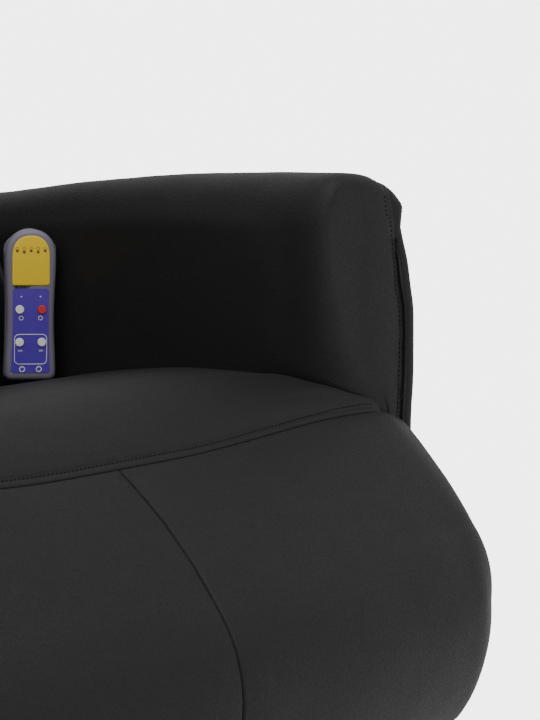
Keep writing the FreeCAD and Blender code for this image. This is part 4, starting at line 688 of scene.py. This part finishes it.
def finish_pieces():
    """Gives every rigid piece of the construction its finish."""
    for material, names in FINISHES:
        for name in names.split():
            NODES[name].data.materials.clear()
            NODES[name].data.materials.append(material)


# ---- arms

ARM_HIGH, ARM_FALL = 677, 73


def arm_height(depth):
    """Height of the arm's top along its depth, falling more steeply to its rear."""
    share = (depth - ARM_FRONT) / (ARM_REAR - ARM_FRONT)
    return ARM_HIGH - ARM_FALL * (0.75 * share + 0.25 * share * share)


def corner_radius(height):
    """Radius of the arm's inner front corner, which widens down to the seat and closes again below it."""
    above = 8 + 0.0073 * np.maximum(617 - height, 0.0) ** 1.8
    below = 10 + 75 * ease((height - 300) / 140)
    return np.where(height > 440, np.minimum(above, 88), below)


# A corner whose bend starts and ends gently: share of its depth, and share of its width still to turn
SOFT_TURN = math.pi / 2 * ease((np.arange(200) + 0.5) / 200)
SOFT_DEPTH, SOFT_ACROSS = (np.concatenate([[0], np.cumsum(turned)]) / np.sum(turned)
                           for turned in (np.sin(SOFT_TURN), np.cos(SOFT_TURN)))


def corner_in(height, depth, slack=0.0):
    """How far the arm's inner face stands back at its front corner, a soft rounding longer in depth than across."""
    wide = np.maximum(1.05 * corner_radius(height) + 9 - slack, 0.0)
    return wide * (1 - np.interp((depth - ARM_FRONT) / (1.32 * wide + 28), SOFT_DEPTH, SOFT_ACROSS))


def front_seam(height):
    """How far out the arm's front seam runs: nearly upright, leaning in toward the top."""
    return np.interp(height, FRONT_SEAM_HEIGHT, FRONT_SEAM_OUT)


# The arm's rounded top in section: across, and height under its crest; it hangs over the outer panel at the end
ARM_TOP = [(268, -27), (272, -18), (279, -9), (288, -3), (298, 0), (312, 0.2), (324, -0.8), (334, -3), (342, -5.2),
           (347, -7), (350, -8.3), (352.5, -9.4), (355, -10.6), (358, -12.3), (361.5, -14.5), (364.5, -16.7),
           (367, -18.7), (369.5, -21), (373, -24.6), (377.5, -29.8), (381, -35.5)]
TOP_SEAM_OUT = 352.5
SIDE_SHARES = [0, 0.01, 0.03, 0.07, 0.12, 0.18, 0.24, 0.3, 0.36, 0.42, 0.47, 0.52, 0.56, 0.595, 0.62, 0.645, 0.67,
               0.7, 0.73, 0.76, 0.79, 0.82, 0.85, 0.88, 0.905, 0.93, 0.95, 0.97, 0.985, 1.0]
ARM_STEPS = [0, 0.12, 0.4, 0.9, 1.7, 2.9, 4.6, 6.8, 9.6, 13.4, 18, 24, 31, 39, 48, 58, 69, 81, 94, 108]


def arm_ring(depth):
    """The arm's outline at a depth, rounded toward its front and rear faces."""
    behind = depth - ARM_FRONT
    top = arm_height(depth) + 4.4 * math.sin(math.pi * min(max((behind - 2) / 500, 0), 1))
    flare = 3.2 * float(1 - ease((behind - 5) / 14))
    foot = lambda share: 3 * (1 - ease(share / 0.02))
    roll = lambda share: ((3.4 - 0.3 * flare) * ease((share - 0.955) / 0.045)
                          - (1.5 + 0.7 * flare) * ease((share - 0.9) / 0.05))
    flat = [(ARM_IN + foot(share), ARM_LOW + (top - 40 - ARM_LOW) * share) for share in SIDE_SHARES]
    flat += [(across, top + drop) for across, drop in ARM_TOP]
    flat += [(ARM_OUT + 0.5 + flare - foot(share) + roll(share), ARM_LOW + (top - 44 - ARM_LOW) * share)
             for share in SIDE_SHARES[::-1]]
    flat += [(ARM_OUT - 4 - (ARM_OUT - ARM_IN - 8) * share, ARM_LOW)
             for share in np.linspace(0, 1, len(ARM_TOP) + 2)[1:-1]]
    flat = np.array(flat)
    ahead = np.roll(flat, -1, 0) - np.roll(flat, 1, 0)
    normal = np.stack([-ahead[:, 1], ahead[:, 0]], 1)
    normal /= np.linalg.norm(normal, axis=1, keepdims=True)
    height, share = flat[:, 1], normal ** 2
    outer_round = np.clip(ARM_OUT + 2.5 - front_seam(height), 1, 9) + 1.5
    side_in = np.where(normal[:, 0] < 0, corner_in(height, depth), round_in(outer_round, behind))
    inset = side_in * share[:, 0] + float(round_in(17.0, behind)) * share[:, 1]
    flat = flat - normal * np.maximum(inset, float(round_in(14.0, ARM_REAR - depth)))[:, None]
    return np.column_stack([flat[:, 0], np.full(len(flat), depth), flat[:, 1]])


def build_arm():
    """The padded arm cover: inner face, rounded top and boxed front."""
    depths = [ARM_FRONT + step for step in ARM_STEPS] + list(np.linspace(ARM_FRONT + 124, ARM_REAR - 26, 26))
    depths += [ARM_REAR - step for step in (16, 8, 3, 0)]
    return loft([arm_ring(depth) for depth in depths], (len(SIDE_SHARES) - 1, len(ARM_TOP) + 1))


def arm_relief(points, normals):
    """Sewn seams, the puckers along them and the soft unevenness of stretched leather on an arm."""
    across, depth, height = points.T
    crest = arm_height(depth)
    behind = np.where(height > crest - 60, depth - ARM_FRONT, 0)
    on_front = (depth < ARM_FRONT + 14) & (across > 330)
    beside = across - front_seam(height)
    seam = np.minimum(np.where(behind > 6, np.abs(across - TOP_SEAM_OUT), 99.0),
                      np.where(on_front, np.hypot(beside, 0.45 * (depth - ARM_FRONT)), 99.0))
    stitched = np.minimum(np.where(behind > 8, np.abs(across - TOP_SEAM_OUT + TOP_STITCH), 99.0),
                          np.where(on_front, np.abs(beside + FRONT_STITCH), 99.0))
    rise = -dip(seam, 2.3, 1.5) - dip(seam, 11, 0.5) - dip(stitched, 1.9, 0.8)
    rise += unevenness(points, (30, 9, 14), 3.1) * dip(seam - 7, 9, 0.55 + 0.5 * ease((depth + 60) / 220))
    rise += 0.8 * unevenness(points, (70, 95, 80), 7.7) + 0.35 * unevenness(points, (28, 36, 30), 1.3)
    fold = dip(unevenness(points, (46, 60, 20), 5.5), 0.07, 0.4) * (normals[:, 0] < -0.3)
    rise -= fold * ease((crest - height - 60) / 60) * ease((depth + 150) / 80)
    return rise * (height > ARM_LOW + 15)


def on_both_sides(names, form, rows):
    """A right-hand cover with its stitches, and its left-hand twin; names are its own, its node's and theirs."""
    for side, way in (("right", 1), ("left", -1)):
        if side == "left":
            form = form[0] * np.array([-1, 1, 1]), [face[::-1] for face in form[1]]
        cover(names[0] + side, form, "chair", names[1] + side)
        twins = [([(way * x, y, z) for x, y, z in path], (way * down[0], *down[1:])) for path, down in rows]
        sew(names[2] + side, form, twins, "chair")


def build_arms():
    points, faces = build_arm()
    across, depth, height = points.T
    held = np.where(height < ARM_LOW + 12, 1.0, 0.0)
    held[(across > ARM_OUT - 2) & (height < arm_height(depth) - 46)] = 1
    held = np.maximum(held, 0.92 * ease((70 + ARM_FRONT - depth) / 40) * ease((330 - across) / 20))
    held[(depth < ARM_FRONT + 3) & (np.abs(across - front_seam(height)) < 4)] = 1
    held[(np.abs(across - TOP_SEAM_OUT) < 1.5) & (height > arm_height(depth) - 30)] = 0.9
    front = [(front_seam(height) - FRONT_STITCH, ARM_FRONT - 90, height) for height in np.linspace(78, 628, 120)]
    turn = [(353 - 2.5 * share, ARM_FRONT - 60, 634 + 24 * share) for share in np.linspace(0, 1, 8)]
    top = [(TOP_SEAM_OUT - TOP_STITCH, depth, 900) for depth in np.linspace(ARM_FRONT + 8, ARM_REAR - 16, 110)]
    back = [(360, ARM_REAR + 60, height) for height in np.linspace(78, 560, 100)]
    on_both_sides(("arm_cover_", "arm_", "arm_stitches_"), sewn_form(points, faces, arm_relief, held, 3.5),
                  [(front + turn, (0, 1, 0)), (top, (0, 0, -1)), (back, (0, -1, 0))])


# ---- outer arm panels

# The panel's rolled edge in section: how far in from its outline, and how far out from the chair's middle
PANEL_EDGE = [(1, 380), (-1.4, 382), (-3.2, 384.6), (-4, 388), (-3.4, 391.4), (-1, 394.6), (2.5, 396.8), (8, 398.2),
              (13, 398.4), (20, 398.8), (34, 399.4), (60, 400), (110, 400.4)]
PANEL_FRONT, PANEL_REAR, PANEL_LOW, PANEL_DROP = -266.0, 296.0, 74.0, 46.0


def rounded_outline(left, low, right, highs, radius, counts):
    """A rounded outline whose top slopes between two heights; counts are of points on an upright and a level side."""
    upright, level = counts
    turn = lambda x, z, start: around(x, z, radius, np.linspace(start, start - math.pi / 2, 6)[1:-1])
    slope = lambda x: highs[0] + (highs[1] - highs[0]) * (x - left) / (right - left)
    found = [(left, z) for z in np.linspace(low + radius, highs[0] - radius, upright)]
    found += turn(left + radius, highs[0] - radius, math.pi)
    found += [(x, slope(x)) for x in np.linspace(left + radius, right - radius, level)]
    found += turn(right - radius, highs[1] - radius, math.pi / 2)
    found += [(right, z) for z in np.linspace(highs[1] - radius, low + radius, upright)]
    found += turn(right - radius, low + radius, 0)
    found += [(x, low) for x in np.linspace(right - radius, left + radius, level)]
    return np.array(found + turn(left + radius, low + radius, -math.pi / 2))


def panel_outline(inset, radius, counts, reach=0):
    """The panel's outline drawn in by inset, its top under the arm's as that is reach beyond its ends."""
    ends = PANEL_FRONT + inset, PANEL_REAR - inset
    highs = [arm_height(end) - PANEL_DROP - inset for end in (ends[0] - reach, ends[1] + reach)]
    flat = rounded_outline(ends[0], PANEL_LOW + inset, ends[1], highs, radius, counts)
    lowest = np.minimum(flat[:, 1], arm_height(flat[:, 0]) - PANEL_DROP - inset)
    flat[:, 1] = np.where(flat[:, 1] > 300, lowest, flat[:, 1])
    return flat


def build_panel():
    """The padded outer panel, rolled over its edge and sewn to the arm's side."""
    rings = []
    for inset, out in PANEL_EDGE:
        flat = panel_outline(inset, max(8.0 - inset, 1.5), (34, 26))
        lean = np.clip(ARM_OUT + 1 - front_seam(flat[:, 1]), 0, 30) + 8 * ease((flat[:, 1] - 580) / 42)
        rings.append(np.column_stack([out - lean * (1 - ease((flat[:, 0] - PANEL_FRONT) / 60)), flat]))
    return loft(rings, (38, 30))


def panel_relief(points, normals):
    """The stitched line inside the panel's edge, its puckers and soft unevenness."""
    across, depth, height = points.T
    inside = np.minimum.reduce([depth - PANEL_FRONT, PANEL_REAR - depth, height - PANEL_LOW,
                                arm_height(depth) - PANEL_DROP - height])
    rise = unevenness(points, (20, 11, 11), 9.4) * dip(inside - 8, 9, 0.4) - dip(inside - PANEL_STITCH, 3.0, 0.8)
    rise += 0.9 * unevenness(points, (60, 110, 120), 4.2) + 0.3 * unevenness(points, 30, 2.2)
    return rise * np.clip(normals[:, 0], 0, 1)


def build_panels():
    points, faces = build_panel()
    held = np.where(points[:, 0] < 384, 1.0, 0.0)
    loop = panel_outline(PANEL_STITCH, 6, (60, 60), PANEL_STITCH)
    on_both_sides(("arm_side_", "arm_panel_", "panel_stitches_"), sewn_form(points, faces, panel_relief, held, 2.5),
                  [([(500, y, z) for y, z in loop], (-1, 0, 0))])


# ---- seat

def seam_place(across):
    """Depth and height of the sewn edge between seat and leg rest."""
    across = abs(across)
    depth = -300 + 17 * (min(across, 335) / 322) ** 2
    depth += (-271.5 - depth) * ease((across - 335) / 35)
    return depth, float(np.interp(across, SEAM_ACROSS, SEAM_HEIGHT))


# Depth and height of the seat's lower front edge and of its lower rear edge
SEAT_FOOT, SEAT_REAR = (-271, 393.3), (144, 332)


def seat_section(share):
    """The seat's closed outline at a share of its width, with the counts of its edges."""
    across = abs(share)
    fall = across ** 2.5
    edge = 1.5 * quarter((across - 0.985) / 0.015)
    seam, high = seam_place(share * SEAT_EAR)
    lip = high - 6.0 * float(ease((across - 0.955) / 0.045))
    crest, shoulder = (-205, 497 - 12 * fall - edge), (115.5, 439 - 4 * fall - edge)
    rear_top = (139.5, 419 - 4 * fall)
    near = [0, 0.007, 0.0125, 0.018, 0.025, 0.038, 0.06, 0.095, *np.linspace(0.14, 0.96, 17)]
    front = trace(SEAT_FOOT, ((-271, 415), 0, 3), ((seam + 16, high - 12), 0, 4), ((seam + 2, high - 5), 0, 3))
    front += [(seam - 0.6, high - 2.6)]
    top = [(seam - 0.8, lip - 0.4), (seam + 0.8, lip + 1.3), (seam + 2.6, lip + 2.3)]
    top += trace((seam + 3.6, lip + 2.8), (crest, 10 + 3 * float(ease((across - 0.7) / 0.3)), near),
                 (shoulder, 4 + 6 * across * across, 30), (rear_top, 6, 5))
    under = trace(rear_top, (SEAT_REAR, 0, len(front)), (SEAT_FOOT, 0, len(top)))
    return front + top + under, (len(front), len(top))


def build_seat():
    """The seat cushion: crowned, its front corners drawn out in front of the arms."""
    rings = []
    for share in [-1, -0.994] + list(np.linspace(-1, 1, 61))[1:-1] + [0.994, 1]:
        section, sides = seat_section(share)
        ring = []
        for depth, height in section:
            ears = float(corner_in(height, max(depth, ARM_FRONT), 1.5)) if height >= 385 else 0
            widen = SEAT_EAR - SEAT_HALF if depth < ARM_FRONT else min(ears, SEAT_EAR - SEAT_HALF)
            if height > 450:
                height += float(dip(ears - 40, 19, 4.5) * ease((abs(share) - 0.7) / 0.28))
            ring.append((share * (SEAT_HALF + widen), depth, height))
        rings.append(ring)
    return loft(rings, sides)


def seat_relief(points, normals):
    """Pull lines from the sewn front edge, the hollow of its topstitch and sat-in softness."""
    across, depth, height = points.T
    behind = depth - np.array([seam_place(x)[0] for x in across])
    rise = unevenness(points, (12, 26, 40), 6.1) * (dip(behind - 4, 5, 0.25) + dip(behind - 16, 12, 0.45))
    rise += 0.8 * unevenness(points, (120, 110, 200), 2.9) + 0.5 * unevenness(points, (45, 40, 60), 8.3)
    folds = dip(unevenness(points, (95, 22, 60), 12.4), 0.06, 0.5) * ease((depth - 20) / 90)
    rise -= dip(behind - SEAT_STITCH, 1.5, 1.5) + folds * (1 - 0.5 * np.clip(1 - np.abs(across) / 265, 0, 1))
    inside = ease((262.5 - np.abs(across)) / 8 + (depth < ARM_FRONT - 2))
    return rise * np.clip(normals[:, 2], 0, 1) * ease((behind + 1) / 5) * inside


def build_seat_cover():
    points, faces = build_seat()
    across, depth, height = points.T
    held = np.where((height < 420) | (depth > 130) | (depth < -274) | (np.abs(across) > 262.5), 1.0, 0.0)
    held = np.maximum(held, 0.9 * ease((depth + 120) / 160))
    form = sewn_form(points, faces, seat_relief, held, 2.5, 0.5)
    cover("seat_cover", form, "chair", "seat_cushion")
    row = [(x, seam_place(x)[0] + SEAT_STITCH, 700) for x in np.linspace(-336, 336, 160)]
    sew("seat_stitches", form, [(row, (0, 0, -1))], "chair")


# ---- leg rest

# Half of the places across the leg rest where its outline is drawn
LEG_PLACES = [1.2, 2.6, 4.4, 7, 12, 20, 32, 46, 62, 80, 98, 116, 134, 152, 170, 188, 206, 224, 242, 260, 276, 292,
              306, 318, 328, 338, 347, 355, 362, 368.5, 374, 378.5, 382, 384.5, 386]
LEG_BACK = -273
POCKET_HALF, POCKET_DEEP, POCKET_LOW, POCKET_HIGH = 24, 14, 280, 350


def leg_section(across):
    """The leg rest's closed outline at a place across it, with the counts of its edges."""
    seam, high = seam_place(across)
    across = abs(across)
    past = min(max(across - 326, 0) / 60, 1)
    inset = 60 * quarter(past)
    fuller = 60 * (1 - max(1 - past ** 3, 0) ** (1 / 3))
    bow = 40 * min(across / 326, 1) ** 2
    pull, foot = bow + 0.9 * inset + 9.5 * float(ease(past * 1.5)), 172 + 0.3 * inset
    middle = (-418 + bow + 0.9 * fuller, 362 - 0.15 * bow - 0.3 * fuller)
    back = trace((LEG_BACK, foot), ((LEG_BACK, 375), 0, 14), ((LEG_BACK - 3, 418), 0, 4),
                 ((seam + 9, high - 13), 0, 3), ((seam + 3.5, high - 5.5), 0, 2))
    front = [(seam + 0.5, high - 2), (seam - 1.3, high - 1.6)]
    front += trace((seam - 3.6, high - 2.6), (middle, -5, 18), ((-462 + pull, 285), -9, 12))
    under = trace((-462 + pull, 285), ((-425 + pull, foot), -12, len(back)), ((LEG_BACK, foot), 0, len(front)))
    return back + front + under, (len(back), len(front))


def build_leg_rest():
    """The leg rest's cover, full width and sloping down from the seat's front seam, with a pocket for the crank."""
    rings = []
    for across in [-place for place in LEG_PLACES[::-1]] + [0] + LEG_PLACES:
        section, sides = leg_section(across)
        pocketed = lambda depth, height: depth > LEG_BACK - 1 and POCKET_LOW < height < POCKET_HIGH
        deep = POCKET_DEEP if abs(across) < POCKET_HALF else 0
        rings.append([(across, depth - deep * pocketed(depth, height), height) for depth, height in section])
    return loft(rings, sides)


def leg_relief(points, normals):
    """The sewn line down the leg rest's middle, gathers beside it and under the seam, and soft unevenness."""
    across, depth, height = points.T
    seen = ease((-284 - depth) / 8 + 0.5) * np.clip(-normals[:, 1] + normals[:, 2], 0, 1)
    ahead = np.array([seam_place(x)[0] for x in across]) - depth
    sewn = -dip(across, 1.5, 3.2) * ease((ahead + 0.5) / 2.5)
    rise = -dip(across, 12, 1.2) + unevenness(points, (14, 11, 11), 8.8) * dip(np.abs(across) - 9, 8, 0.5)
    rise += unevenness(points, (13, 30, 30), 15.2) * dip(16 - ahead, 12, 0.45)
    rise += 1.7 * unevenness(points, (120, 90, 90), 11.9) + 0.5 * unevenness(points, 42, 10.1)
    return sewn * ease((-276 - depth) / 6) + rise * seen * ease((ahead - 2) / 8)


def build_leg_rest_cover():
    points, faces = build_leg_rest()
    across, depth, height = points.T
    seam = np.array([seam_place(x) for x in across])
    held = np.where((depth > -277) | (np.abs(across) < 1) | (height < 176), 1.0, 0.0)
    held[(height > seam[:, 1] - 9) & (depth > seam[:, 0] - 6)] = 1
    held = np.maximum(held, ease((np.abs(across) - 320) / 50))
    piece = cover("legrest_cover", sewn_form(points, faces, leg_relief, held, 4.0), None, "legrest_pad")
    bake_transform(piece)


# ---- backrest

LEAN_COS, LEAN_SIN = math.cos(BACK_LEAN), math.sin(BACK_LEAN)
SEWN_CHANNELS = LUMBAR_LINE, SHOULDER_LINE = 222.0, 412.0


def leaning(points):
    """Points of the backrest's own frame, set in the chair."""
    across, depth, height = np.array(points, float).T
    return np.column_stack([across, BACK_FOOT[0] + depth * LEAN_COS + height * LEAN_SIN,
                            BACK_FOOT[1] - depth * LEAN_SIN + height * LEAN_COS])


def upright(points):
    """The reverse of leaning."""
    depth, height = points[:, 1] - BACK_FOOT[0], points[:, 2] - BACK_FOOT[1]
    return np.column_stack([points[:, 0], depth * LEAN_COS - height * LEAN_SIN,
                            depth * LEAN_SIN + height * LEAN_COS])


def back_section(share):
    """The backrest cushion's closed outline: lumbar, shoulder and head pillows, with the counts of its edges."""
    across = abs(share)
    end = 16 * quarter((across - 0.93) / 0.07)
    pull = 26 * across ** 3 + end
    swell = 36 * (1 - 0.55 * across ** 2.5)
    rear, front, top = 91 - end, -45 + pull, 622 - 0.9 * pull
    foot = -45 + 3 * across ** 3 + 0.5 * end
    section = trace((rear, 60), ((rear, top - 30), 0, 38), ((73, top - 4), -5, 5), ((front + 46, top), -14, 7),
                    ((front + 4, SHOULDER_LINE), -swell, 16), ((front, LUMBAR_LINE), -0.9 * swell, 14),
                    ((foot, 40), -swell, 7), ((0, -45), -16, 6), ((rear, 60), -9, 7))
    return section, (43, 7)


def back_relief(points, normals):
    """The backrest's sewn channels, the gathers along them and its soft unevenness."""
    height = upright(points)[:, 2]
    rise = 1.5 * unevenness(points, (90, 80, 80), 21.0) + 0.5 * unevenness(points, 36, 17.0)
    for line in SEWN_CHANNELS:
        rise -= dip(height - line, 2.6, 1.6)
        rise += unevenness(points, (13, 30, 36), line) * dip(np.abs(height - line) - 16, 14, 1.0)
    return rise * np.clip(-normals[:, 1] * 1.4, 0, 1) * ease((252 - np.abs(points[:, 0])) / 14)


def build_back_cover():
    ends = [0.88, 0.92, 0.95, 0.97, 0.985, 0.995, 1]
    rings = []
    for share in [-end for end in ends[::-1]] + list(np.linspace(-0.83, 0.83, 35)) + ends:
        section, sides = back_section(share)
        rings.append([(share * BACK_HALF, depth, height) for depth, height in section])
    points, faces = loft(rings, sides)
    held = np.where((points[:, 1] > 70) | (points[:, 2] < 30), 1.0, 0.0)
    for line in SEWN_CHANNELS:
        held[np.abs(points[:, 2] - line) < 3] = 1
    held = np.maximum(held, ease((np.abs(points[:, 0]) - 236) / 14))
    form = sewn_form(leaning(points), faces, back_relief, held, 7.0, 0.5)
    cover("back_cover", form, "backrest", "back_cushion")
    rows = [(leaning([(x, -300, line + gap) for x in np.linspace(-232, 232, 110)]), (0, LEAN_COS, -LEAN_SIN))
            for line in SEWN_CHANNELS for gap in (-BACK_STITCH, BACK_STITCH)]
    sew("back_stitches", form, rows, "backrest")


def build_back_piping():
    """A leather cord sewn round each side of the backrest, where its front meets its side."""
    share = 0.978
    section, (side, crown) = back_section(share)
    face = [(80, section[side][1] - 16), (77, section[side][1] - 5), *section[side:2 * side + crown + 1]]
    for name, way in (("back_piping_left", -1), ("back_piping_right", 1)):
        path = leaning([(way * (share * BACK_HALF + 0.6), depth, height) for depth, height in face])
        add_piece(name, *cord(path, 3.2), LEATHER, "backrest", "dark_leather")


# The rear panel's rolled edge: how far in from its outline, and how far behind the backrest's front
REAR_EDGE = [(2, 91.5), (0.2, 93), (-0.4, 96), (0.2, 99.5), (2, 102), (6, 103.6), (12, 104), (18, 104.6), (40, 107),
             (90, 109)]
REAR_HALF, REAR_LOW, REAR_HIGH = 246, 62, 574


def rear_outline(inset, radius, counts):
    """The rear panel's outline drawn in by inset."""
    highs = (REAR_HIGH - inset, REAR_HIGH - inset)
    return rounded_outline(inset - REAR_HALF, REAR_LOW + inset, REAR_HALF - inset, highs, radius, counts)


def rear_relief(points, normals):
    """The stitched line inside the rear panel's edge, its puckers and soft unevenness."""
    across, depth, height = upright(points).T
    inside = np.minimum.reduce([REAR_HALF - np.abs(across), height - REAR_LOW, REAR_HIGH - height])
    rise = unevenness(points, (12, 14, 12), 31.0) * dip(inside - 8, 9, 0.4) - dip(inside - PANEL_STITCH, 3.0, 0.8)
    return (rise + unevenness(points, (110, 90, 120), 24.0)) * np.clip(normals[:, 1] * 1.2, 0, 1)


def build_rear_cover():
    """The backrest's padded rear panel, topstitched inside its edge."""
    points, faces = loft([[(x, out, z) for x, z in rear_outline(inset, max(30 - inset, 6), (16, 16))]
                          for inset, out in REAR_EDGE], (20, 20))
    form = sewn_form(leaning(points), faces, rear_relief)
    cover("rear_cover", form, "backrest", "back_panel")
    loop = leaning([(x, 300, z) for x, z in rear_outline(PANEL_STITCH, 18, (60, 60))])
    sew("rear_stitches", form, [(loop, (0, -LEAN_COS, LEAN_SIN))], "backrest")


# ---- hand control

# Across from the control's own middle, out from its joint line and up from its foot, in millimetres
CONTROL_MIDDLE, CONTROL_JOINT, CONTROL_FOOT = -11.52, -23.06, 439.77
CONTROL_HALF, CONTROL_HIGH, CONTROL_ARCH, PANEL_FACE = 26.0, 152.0, 124.0, 11.12
CONTROL_PLACE = Vector((229.0, 115.0, 0.0))
CONTROL_TURN = (Matrix.Rotation(math.radians(-32), 4, "Z") @ Matrix.Rotation(math.radians(-3), 4, "X")
                @ Matrix.Rotation(math.radians(1.5), 4, "Y"))


def in_hand_control(outline, out):
    """A flat outline of the control's own frame, set in the chair at a distance out from the joint line."""
    return [np.array(CONTROL_TURN @ Vector((CONTROL_MIDDLE + across, CONTROL_JOINT - out, CONTROL_FOOT + up))
                     + CONTROL_PLACE) for across, up in outline]


def case_half(up):
    """Half the case's width at a height: full at the head, drawn in at the waist and full again at the foot."""
    return CONTROL_HALF - 1.9 * math.sin(math.pi * min(max((up - 8) / 112, 0), 1)) ** 1.5


def arched_outline(left, half, low, high, fullness, foot_half, corner, counts):
    """An outline with an arched head, rounded foot corners and a level foot, from the points of its left side."""
    head = []
    for turn in np.linspace(math.pi, 0, 29)[1:-1]:
        full = lambda value: math.copysign(abs(value) ** (2 / fullness), value)
        head.append((half * full(math.cos(turn)), CONTROL_ARCH + (high - CONTROL_ARCH) * full(math.sin(turn))))
    foot = around(foot_half - corner, low + corner, corner, np.linspace(0, -math.pi / 2, counts[0])[1:])
    level = [(across, low) for across in np.linspace(foot_half - corner, corner - foot_half, counts[1])[1:-1]]
    return left + head + mirrored(left) + foot + level + mirrored(foot)


def case_outline(inset):
    """The case's outline drawn in by inset."""
    corner = max(7.0 - inset * 0.5, 2.5)
    rise = [inset + corner + (CONTROL_ARCH - inset - corner) * share for share in np.linspace(0, 1, 19)]
    left = [(-(case_half(up) - inset), up) for up in rise]
    return arched_outline(left, CONTROL_HALF - inset, inset, CONTROL_HIGH - inset, 2.25, case_half(inset) - inset,
                          corner, (6, 18))


def head_panel_outline(inset):
    """The upper panel's outline drawn in by inset."""
    half, low, corner = 18.8 - inset, 96.2 + inset, max(2.2 - inset, 0.3)
    left = [(-half, up) for up in np.linspace(low + corner, CONTROL_ARCH, 13)]
    return arched_outline(left, half, low, 146.2 - inset, 2.4, half, corner, (5, 22))


# The rolled edges of the case's front and of its upper panel: how far in from the outline, and out from the joint
CASE_EDGE = [(1.2, 0.1), (0, 0.1), (-0.15, 1.6), (0, 4.5), (0.35, 7), (1.2, 8.8), (2.5, 9.9), (4.2, 10.4),
             (6, 10.5), (9, 10.5)]
HEAD_PANEL_EDGE = [(0, 10.0), (0, 10.8), (0.25, 11.05), (1.2, PANEL_FACE), (3, PANEL_FACE)]


def build_control_face():
    """The front half of the case, with rolled edges and an arched head."""
    form = refined(*loft([in_hand_control(case_outline(inset), out) for inset, out in CASE_EDGE], (18, 28)))
    piece = add_piece("control_face", *form, GREY_CASE, "hand_control", "grey_case")
    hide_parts("control_case_front")


def build_control_head_panel():
    """The upper panel: straight at its foot, arched with the case at its head."""
    rings = [in_hand_control(head_panel_outline(inset), out) for inset, out in HEAD_PANEL_EDGE]
    form = loft(rings, (12, len(rings[0]) // 2 - 12))
    piece = add_piece("control_head_panel", *form, YELLOW, "hand_control", "yellow_panel")
    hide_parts("control_upper_panel")


def print_lines(name, lines, material, slot):
    """Closed printed lines, each an outline and its width, raised by the thickness of the ink."""
    points, faces = [], []
    for outline, wide in lines:
        outline = np.array(outline, float)
        ahead = np.roll(outline, -1, 0) - np.roll(outline, 1, 0)
        side = np.stack([-ahead[:, 1], ahead[:, 0]], 1) / np.linalg.norm(ahead, axis=1, keepdims=True)
        count = len(outline)
        rings = [len(points) + number * count for number in range(4)]
        for shift, lift in [(0.5, -0.05), (0.5, 0.1), (-0.5, 0.1), (-0.5, -0.05)]:
            points += in_hand_control(outline + side * wide * shift, PANEL_FACE + lift)
        for low, high in zip(rings, rings[1:] + rings[:1]):
            faces += band(low, high, count)
    add_piece(name, np.array(points), faces, material, "hand_control", slot)


def circle(across, up, radius, count=28):
    return around(across, up, radius, np.linspace(0, 2 * math.pi, count, endpoint=False))


def rounded_box(left, low, right, high, radius):
    found = []
    for across, up, start in ((right, high, 0), (left, high, 1), (left, low, 2), (right, low, 3)):
        across += radius if start in (1, 2) else -radius
        up += radius if start in (2, 3) else -radius
        found += around(across, up, radius, np.linspace(start * math.pi / 2, (start + 1) * math.pi / 2, 9))
    return found


def build_control_prints():
    """The plain printed rings and frame on the panels; no lettering."""
    lines = [(rounded_box(-16.2, 16.8, 16.2, 46.8, 4.5), 0.8)]
    for side in (-1, 1):
        lines += [(circle(side * 9.7, 63.3, 2.0), 0.8), (circle(side * 9.6, 84.9, 0.45, 12), 0.8),
                  (rounded_box(side * 10.4 - 1.9, 29.9, side * 10.4 + 1.9, 30.9, 0.4), 0.5),
                  (circle(side * 8.4, 11.6, 2.5), 1.1)]
    print_lines("control_prints", lines, PRINT, "white_button")
    lights = [(circle(number * 7.0, 133.6 - 0.35 * abs(number), 1.5, 20), 0.4) for number in range(-2, 3)]
    print_lines("control_light_rings", lights, DARK_PRINT, "yellow_panel")


# ---- studio

def build_floor():
    mesh = bpy.data.meshes.new("floor")
    mesh.from_pydata([(-30, -30, 0), (30, -30, 0), (30, 30, 0), (-30, 30, 0)], [], [(0, 1, 2, 3)])
    mesh.materials.append(pale_floor())
    add_object("floor", mesh)


def build_light():
    """Soft white surroundings and one large soft lamp, high up ahead and to the left."""
    world = bpy.data.worlds.new("studio")
    world.use_nodes = True
    tree = world.node_tree
    soft = tree.nodes["Background"]
    soft.inputs["Color"].default_value = (1, 1, 1, 1)
    soft.inputs["Strength"].default_value = 0.8
    backdrop = add_node(tree, "Background", Color=(1, 1, 1), Strength=BACKDROP_GLOW)
    seen = add_node(tree, "LightPath").outputs["Is Camera Ray"]
    both = add_node(tree, "MixShader", seen, soft.outputs[0], backdrop.outputs[0])
    tree.links.new(both.outputs[0], tree.nodes["World Output"].inputs["Surface"])
    bpy.context.scene.world = world
    sun = bpy.data.lights.new("daylight", "SUN")
    sun.energy = 1.7
    sun.angle = math.radians(60)
    add_object("daylight", sun).rotation_euler = Vector((0.35, 0.4, -1.0)).to_track_quat("-Z", "Y").to_euler()


def build_camera():
    """The camera at the photograph's angle, off the chair's front corner and a little above the arm."""
    camera = bpy.data.cameras.new("camera")
    camera.lens = 157.5
    camera.sensor_width = 36
    holder = add_object("camera", camera)
    place, aim = Vector((-1.7038, -2.3488, 1.0281)), Vector((0.2948, -0.1724, 0.4907))
    holder.location = place
    holder.rotation_euler = (aim - place).to_track_quat("-Z", "Y").to_euler()
    bpy.context.scene.camera = holder


finish_pieces()
build_arms()
build_panels()
build_seat_cover()
build_leg_rest_cover()
build_back_cover()
build_back_piping()
build_rear_cover()
build_control_face()
build_control_head_panel()
build_control_prints()
build_floor()
build_light()
build_camera()
